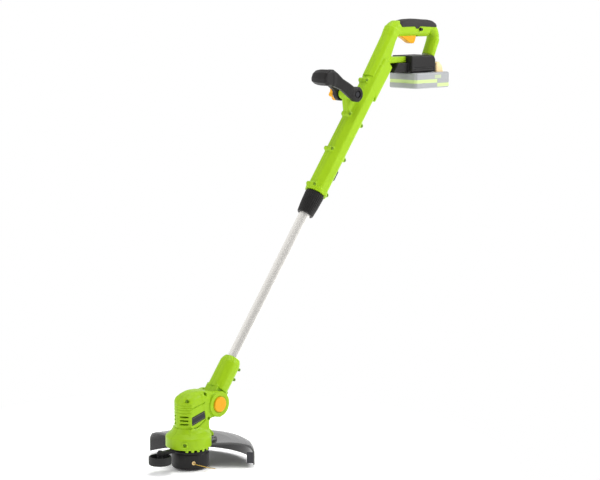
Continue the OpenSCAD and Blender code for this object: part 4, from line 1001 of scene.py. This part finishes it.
def cutting_line() -> bpy.types.Object:
    """Free end of the cutting line: a smooth tube along the frame's own points, cut square at its tip."""
    knots = np.array([[-20.9, -34.8, 17.5], [-22.4, -37.3, 17.2], [-21.5, -41, 16.2], [-17, -45, 14.5],
                      [-10, -50, 12], [0, -55, 8.5], [9, -59, 5.5], [16, -62, 4]], float)
    pts = []
    for k in range(len(knots) - 1):
        p0, p1 = knots[max(k - 1, 0)], knots[k]
        p2, p3 = knots[k + 1], knots[min(k + 2, len(knots) - 1)]
        for t in np.arange(0, 1, 0.2):
            pts.append(0.5 * (2 * p1 + (p2 - p0) * t + (2 * p0 - 5 * p1 + 4 * p2 - p3) * t * t
                              + (3 * p1 - p0 - 3 * p2 + p3) * t ** 3))
    pts = np.array([*pts, knots[-1]])
    d = np.gradient(pts, axis=0)
    d /= np.linalg.norm(d, axis=1)[:, None]
    u = np.cross([0, 0, 1.0], d)
    u /= np.linalg.norm(u, axis=1)[:, None]
    w = np.cross(d, u)
    n, m = 12, len(pts)
    a = 2 * np.pi * np.arange(n) / n
    rings = pts[:, None] + 0.8 * (np.cos(a)[None, :, None] * u[:, None] + np.sin(a)[None, :, None] * w[:, None])
    verts = np.concatenate([rings.reshape(-1, 3), pts[:1], pts[-1:]])
    i, k = np.arange(m - 1)[:, None], np.arange(n)[None, :]
    side = np.stack([i * n + k, i * n + (k + 1) % n, (i + 1) * n + (k + 1) % n, (i + 1) * n + k], -1).reshape(-1, 4)
    k = np.arange(n)
    first = np.stack([np.full(n, m * n), (k + 1) % n, k, np.full(n, m * n)], -1)
    last = np.stack([np.full(n, m * n + 1), (m - 1) * n + k, (m - 1) * n + (k + 1) % n, np.full(n, m * n + 1)], -1)
    mesh = bpy.data.meshes.new("line_end")
    tris = [tuple(f[:3]) for f in np.concatenate([first, last]).tolist()]
    mesh.from_pydata((verts / 1000).tolist(), [], [tuple(f) for f in side.tolist()] + tris)
    mesh.polygons.foreach_set("use_smooth", np.ones(len(mesh.polygons), bool))
    obj = bpy.data.objects.new("line_end", mesh)
    bpy.context.collection.objects.link(obj)
    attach(obj, "spool")
    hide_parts("cutting_line")
    return obj


def guard_root() -> Moulded:
    """Root block and ribs of the guard, under the wing of the head."""
    def shape(p: Array) -> Array:
        d = slab(p, [(34, 48), (60, 49.5), (57.5, 58), (52, 61), (34, 61)], -20, 20, 2.0)
        d = cut(d, np.hypot(p[:, 0] + 5, p[:, 1]) - SKIRT_R, 0.4)
        for at in (-9, 9):
            d = cut(d, post(p, 46.5, at, 1.9, 40, 90, 0.2), 0.2)
        for a in (-10, 30):
            q = spun(p, a)
            d = np.minimum(d, slab(q, [(56, 50), (107, 50.5), (88, 44)], -1, 1, 0.4))
        return d
    return Moulded("guard_root", shape, (40, -24, 43), (108, 56, 62), 0.8, WORLD, "head", [], Look.GUARD)


# ---- stage ----


def aim_camera() -> None:
    """Sets the main camera: a long lens from the front and the near side, a little above the head."""
    data = bpy.data.cameras.new("camera")
    data.sensor_width = 36.0
    data.lens = 106.45
    data.clip_start, data.clip_end = 0.1, 60.0
    cam = bpy.data.objects.new("camera", data)
    bpy.context.collection.objects.link(cam)
    a, e, roll = math.radians(44.637), math.radians(8.608), math.radians(0.209)
    back = Vector((-math.sin(a) * math.cos(e), -math.cos(a) * math.cos(e), math.sin(e)))
    right = Vector((math.cos(a), -math.sin(a), 0.0))
    up = back.cross(right)
    right, up = right * math.cos(roll) + up * math.sin(roll), up * math.cos(roll) - right * math.sin(roll)
    spot = Vector((0.324591, 0.0, 0.45222)) + back * 3.926313
    cam.matrix_world = Matrix((
        (right.x, up.x, back.x, spot.x), (right.y, up.y, back.y, spot.y), (right.z, up.z, back.z, spot.z), (0, 0, 0, 1)))
    bpy.context.scene.camera = cam


def area_light(name: str, spot: Vector, at: Vector, size: float, power: float, color=(1.0, 1.0, 1.0)) -> None:
    """Adds a square soft light at spot, facing at."""
    data = bpy.data.lights.new(name, "AREA")
    data.shape, data.size, data.energy, data.color = "SQUARE", size, power, color
    lamp = bpy.data.objects.new(name, data)
    lamp.location = spot
    lamp.rotation_euler = (at - spot).to_track_quat("-Z", "Y").to_euler()
    bpy.context.collection.objects.link(lamp)


def surroundings() -> bpy.types.World:
    """White backdrop for the camera; for the object, a room that is bright above and dimmer in front."""
    world = bpy.data.worlds.new("surroundings")
    world.use_nodes = True
    tree = world.node_tree
    tree.nodes.clear()
    out = tree.nodes.new("ShaderNodeOutputWorld")
    seen, room = tree.nodes.new("ShaderNodeBackground"), tree.nodes.new("ShaderNodeBackground")
    seen.inputs["Strength"].default_value = 1.0
    seen.inputs["Color"].default_value = (1.0, 1.0, 1.0, 1.0)
    room.inputs["Strength"].default_value = 1.0
    coord = tree.nodes.new("ShaderNodeTexCoord")
    toward = tree.nodes.new("ShaderNodeVectorMath")
    toward.operation = "DOT_PRODUCT"
    tree.links.new(coord.outputs["Generated"], toward.inputs[0])
    toward.inputs[1].default_value = (-0.70, -0.70, 0.10)
    ramp = tree.nodes.new("ShaderNodeMapRange")
    ramp.inputs["From Min"].default_value = -0.2
    ramp.inputs["From Max"].default_value = 0.9
    ramp.inputs["To Min"].default_value = 0.80
    ramp.inputs["To Max"].default_value = 0.20
    tree.links.new(toward.outputs["Value"], ramp.inputs["Value"])
    tree.links.new(ramp.outputs["Result"], room.inputs["Color"])
    path, mix = tree.nodes.new("ShaderNodeLightPath"), tree.nodes.new("ShaderNodeMixShader")
    tree.links.new(path.outputs["Is Camera Ray"], mix.inputs["Fac"])
    tree.links.new(room.outputs["Background"], mix.inputs[1])
    tree.links.new(seen.outputs["Background"], mix.inputs[2])
    tree.links.new(mix.outputs["Shader"], out.inputs["Surface"])
    return world


FLOOR_GAIN = 1.5


def set_stage() -> None:
    """Plain pale floor, even surroundings and soft studio light from both sides."""
    scene = bpy.context.scene
    scene.view_settings.view_transform = "Standard"
    scene.world = surroundings()
    bpy.ops.mesh.primitive_plane_add(size=80, location=(0, 0, -0.0005))
    floor = bpy.context.object
    floor.name = "floor"
    f = Finish("floor", (0.80, 0.80, 0.80), rough=0.95, grain=40, relief=0.0, spread=0.01, shine=0.0)
    f.bsdf.inputs["Emission Color"].default_value = (1.0, 1.0, 1.0, 1.0)
    f.bsdf.inputs["Emission Strength"].default_value = 0.62
    # the camera sees a brighter matt floor that keeps its shadows, and plain white beyond it
    matt, white, path = f.node("ShaderNodeBsdfDiffuse"), f.node("ShaderNodeEmission"), f.node("ShaderNodeLightPath")
    matt.inputs["Color"].default_value = (FLOOR_GAIN, FLOOR_GAIN, FLOOR_GAIN, 1.0)
    white.inputs["Color"].default_value = (1.0, 1.0, 1.0, 1.0)
    x, y, _ = f.axes()
    away = f.math("SQRT", f.math("ADD", f.math("MULTIPLY", x, x), f.math("MULTIPLY", y, y)))
    far = f.math("MINIMUM", f.math("MAXIMUM", f.math("MULTIPLY", f.math("SUBTRACT", away, 0.3), 2.5), 0.0), 1.0)
    seen, mix = f.node("ShaderNodeMixShader"), f.node("ShaderNodeMixShader")
    f.link(far, seen.inputs["Fac"])
    f.link(matt.outputs["BSDF"], seen.inputs[1])
    f.link(white.outputs["Emission"], seen.inputs[2])
    f.link(path.outputs["Is Camera Ray"], mix.inputs["Fac"])
    f.link(f.bsdf.outputs["BSDF"], mix.inputs[1])
    f.link(seen.outputs["Shader"], mix.inputs[2])
    f.link(mix.outputs["Shader"], f.out.inputs["Surface"])
    floor.data.materials.append(f.mat)
    mid = Vector((0.3, 0, 0.45))
    area_light("key", Vector((2.2, -2.0, 1.9)), mid, 1.2, 48)
    area_light("fill", Vector((-2.2, 0.9, 1.5)), mid, 1.2, 14)
    area_light("top", Vector((0.2, -0.2, 3.0)), mid, 1.6, 30)


def dress(looks: dict[Look, bpy.types.Material], made: dict[str, Look]) -> None:
    """Gives each made piece its finish, and each CAD node the finish of its material slot."""
    record = frame["record"]
    slots = {s["node"]: s["material_slot"] for s in record["subparts"]}
    for name, obj in frame["nodes"].items():
        obj.data.materials.clear()
        obj.data.materials.append(looks[Look(slots[name])])
    dark = Finish("black_screw", (0.05, 0.05, 0.055), rough=0.35, metal=1.0, grain=2200, relief=0.05).mat
    # painted shade: the screws in the lime shells get a dark green that stands for the shade in their screw recesses
    green = Finish("lacquered_screw", (0.13, 0.24, 0.008), rough=0.5, grain=2200, relief=0.05).mat
    for names, mat in ((("guard_screws", "line_cutter", "handle_bolt"), dark),
                       (("housing_screws", "head_screws", "neck_screws"), green)):
        for name in names:
            frame["nodes"][name].data.materials.clear()
            frame["nodes"][name].data.materials.append(mat)
    for name, look in made.items():
        bpy.data.objects[name].data.materials.clear()
        bpy.data.objects[name].data.materials.append(looks[look])


def main() -> None:
    """Builds every piece, dresses the object and sets the stage."""
    looks = finishes()
    made: dict[str, Look] = {}
    for piece in [*moulded_pieces(), guard_root(), *lathed_pieces()]:
        piece.build()
        made[piece.name] = piece.look
    cutting_line()
    made["line_end"] = Look.LINE
    dress(looks, made)
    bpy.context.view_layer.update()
    set_stage()
    aim_camera()


if __name__ == "__main__":
    main()
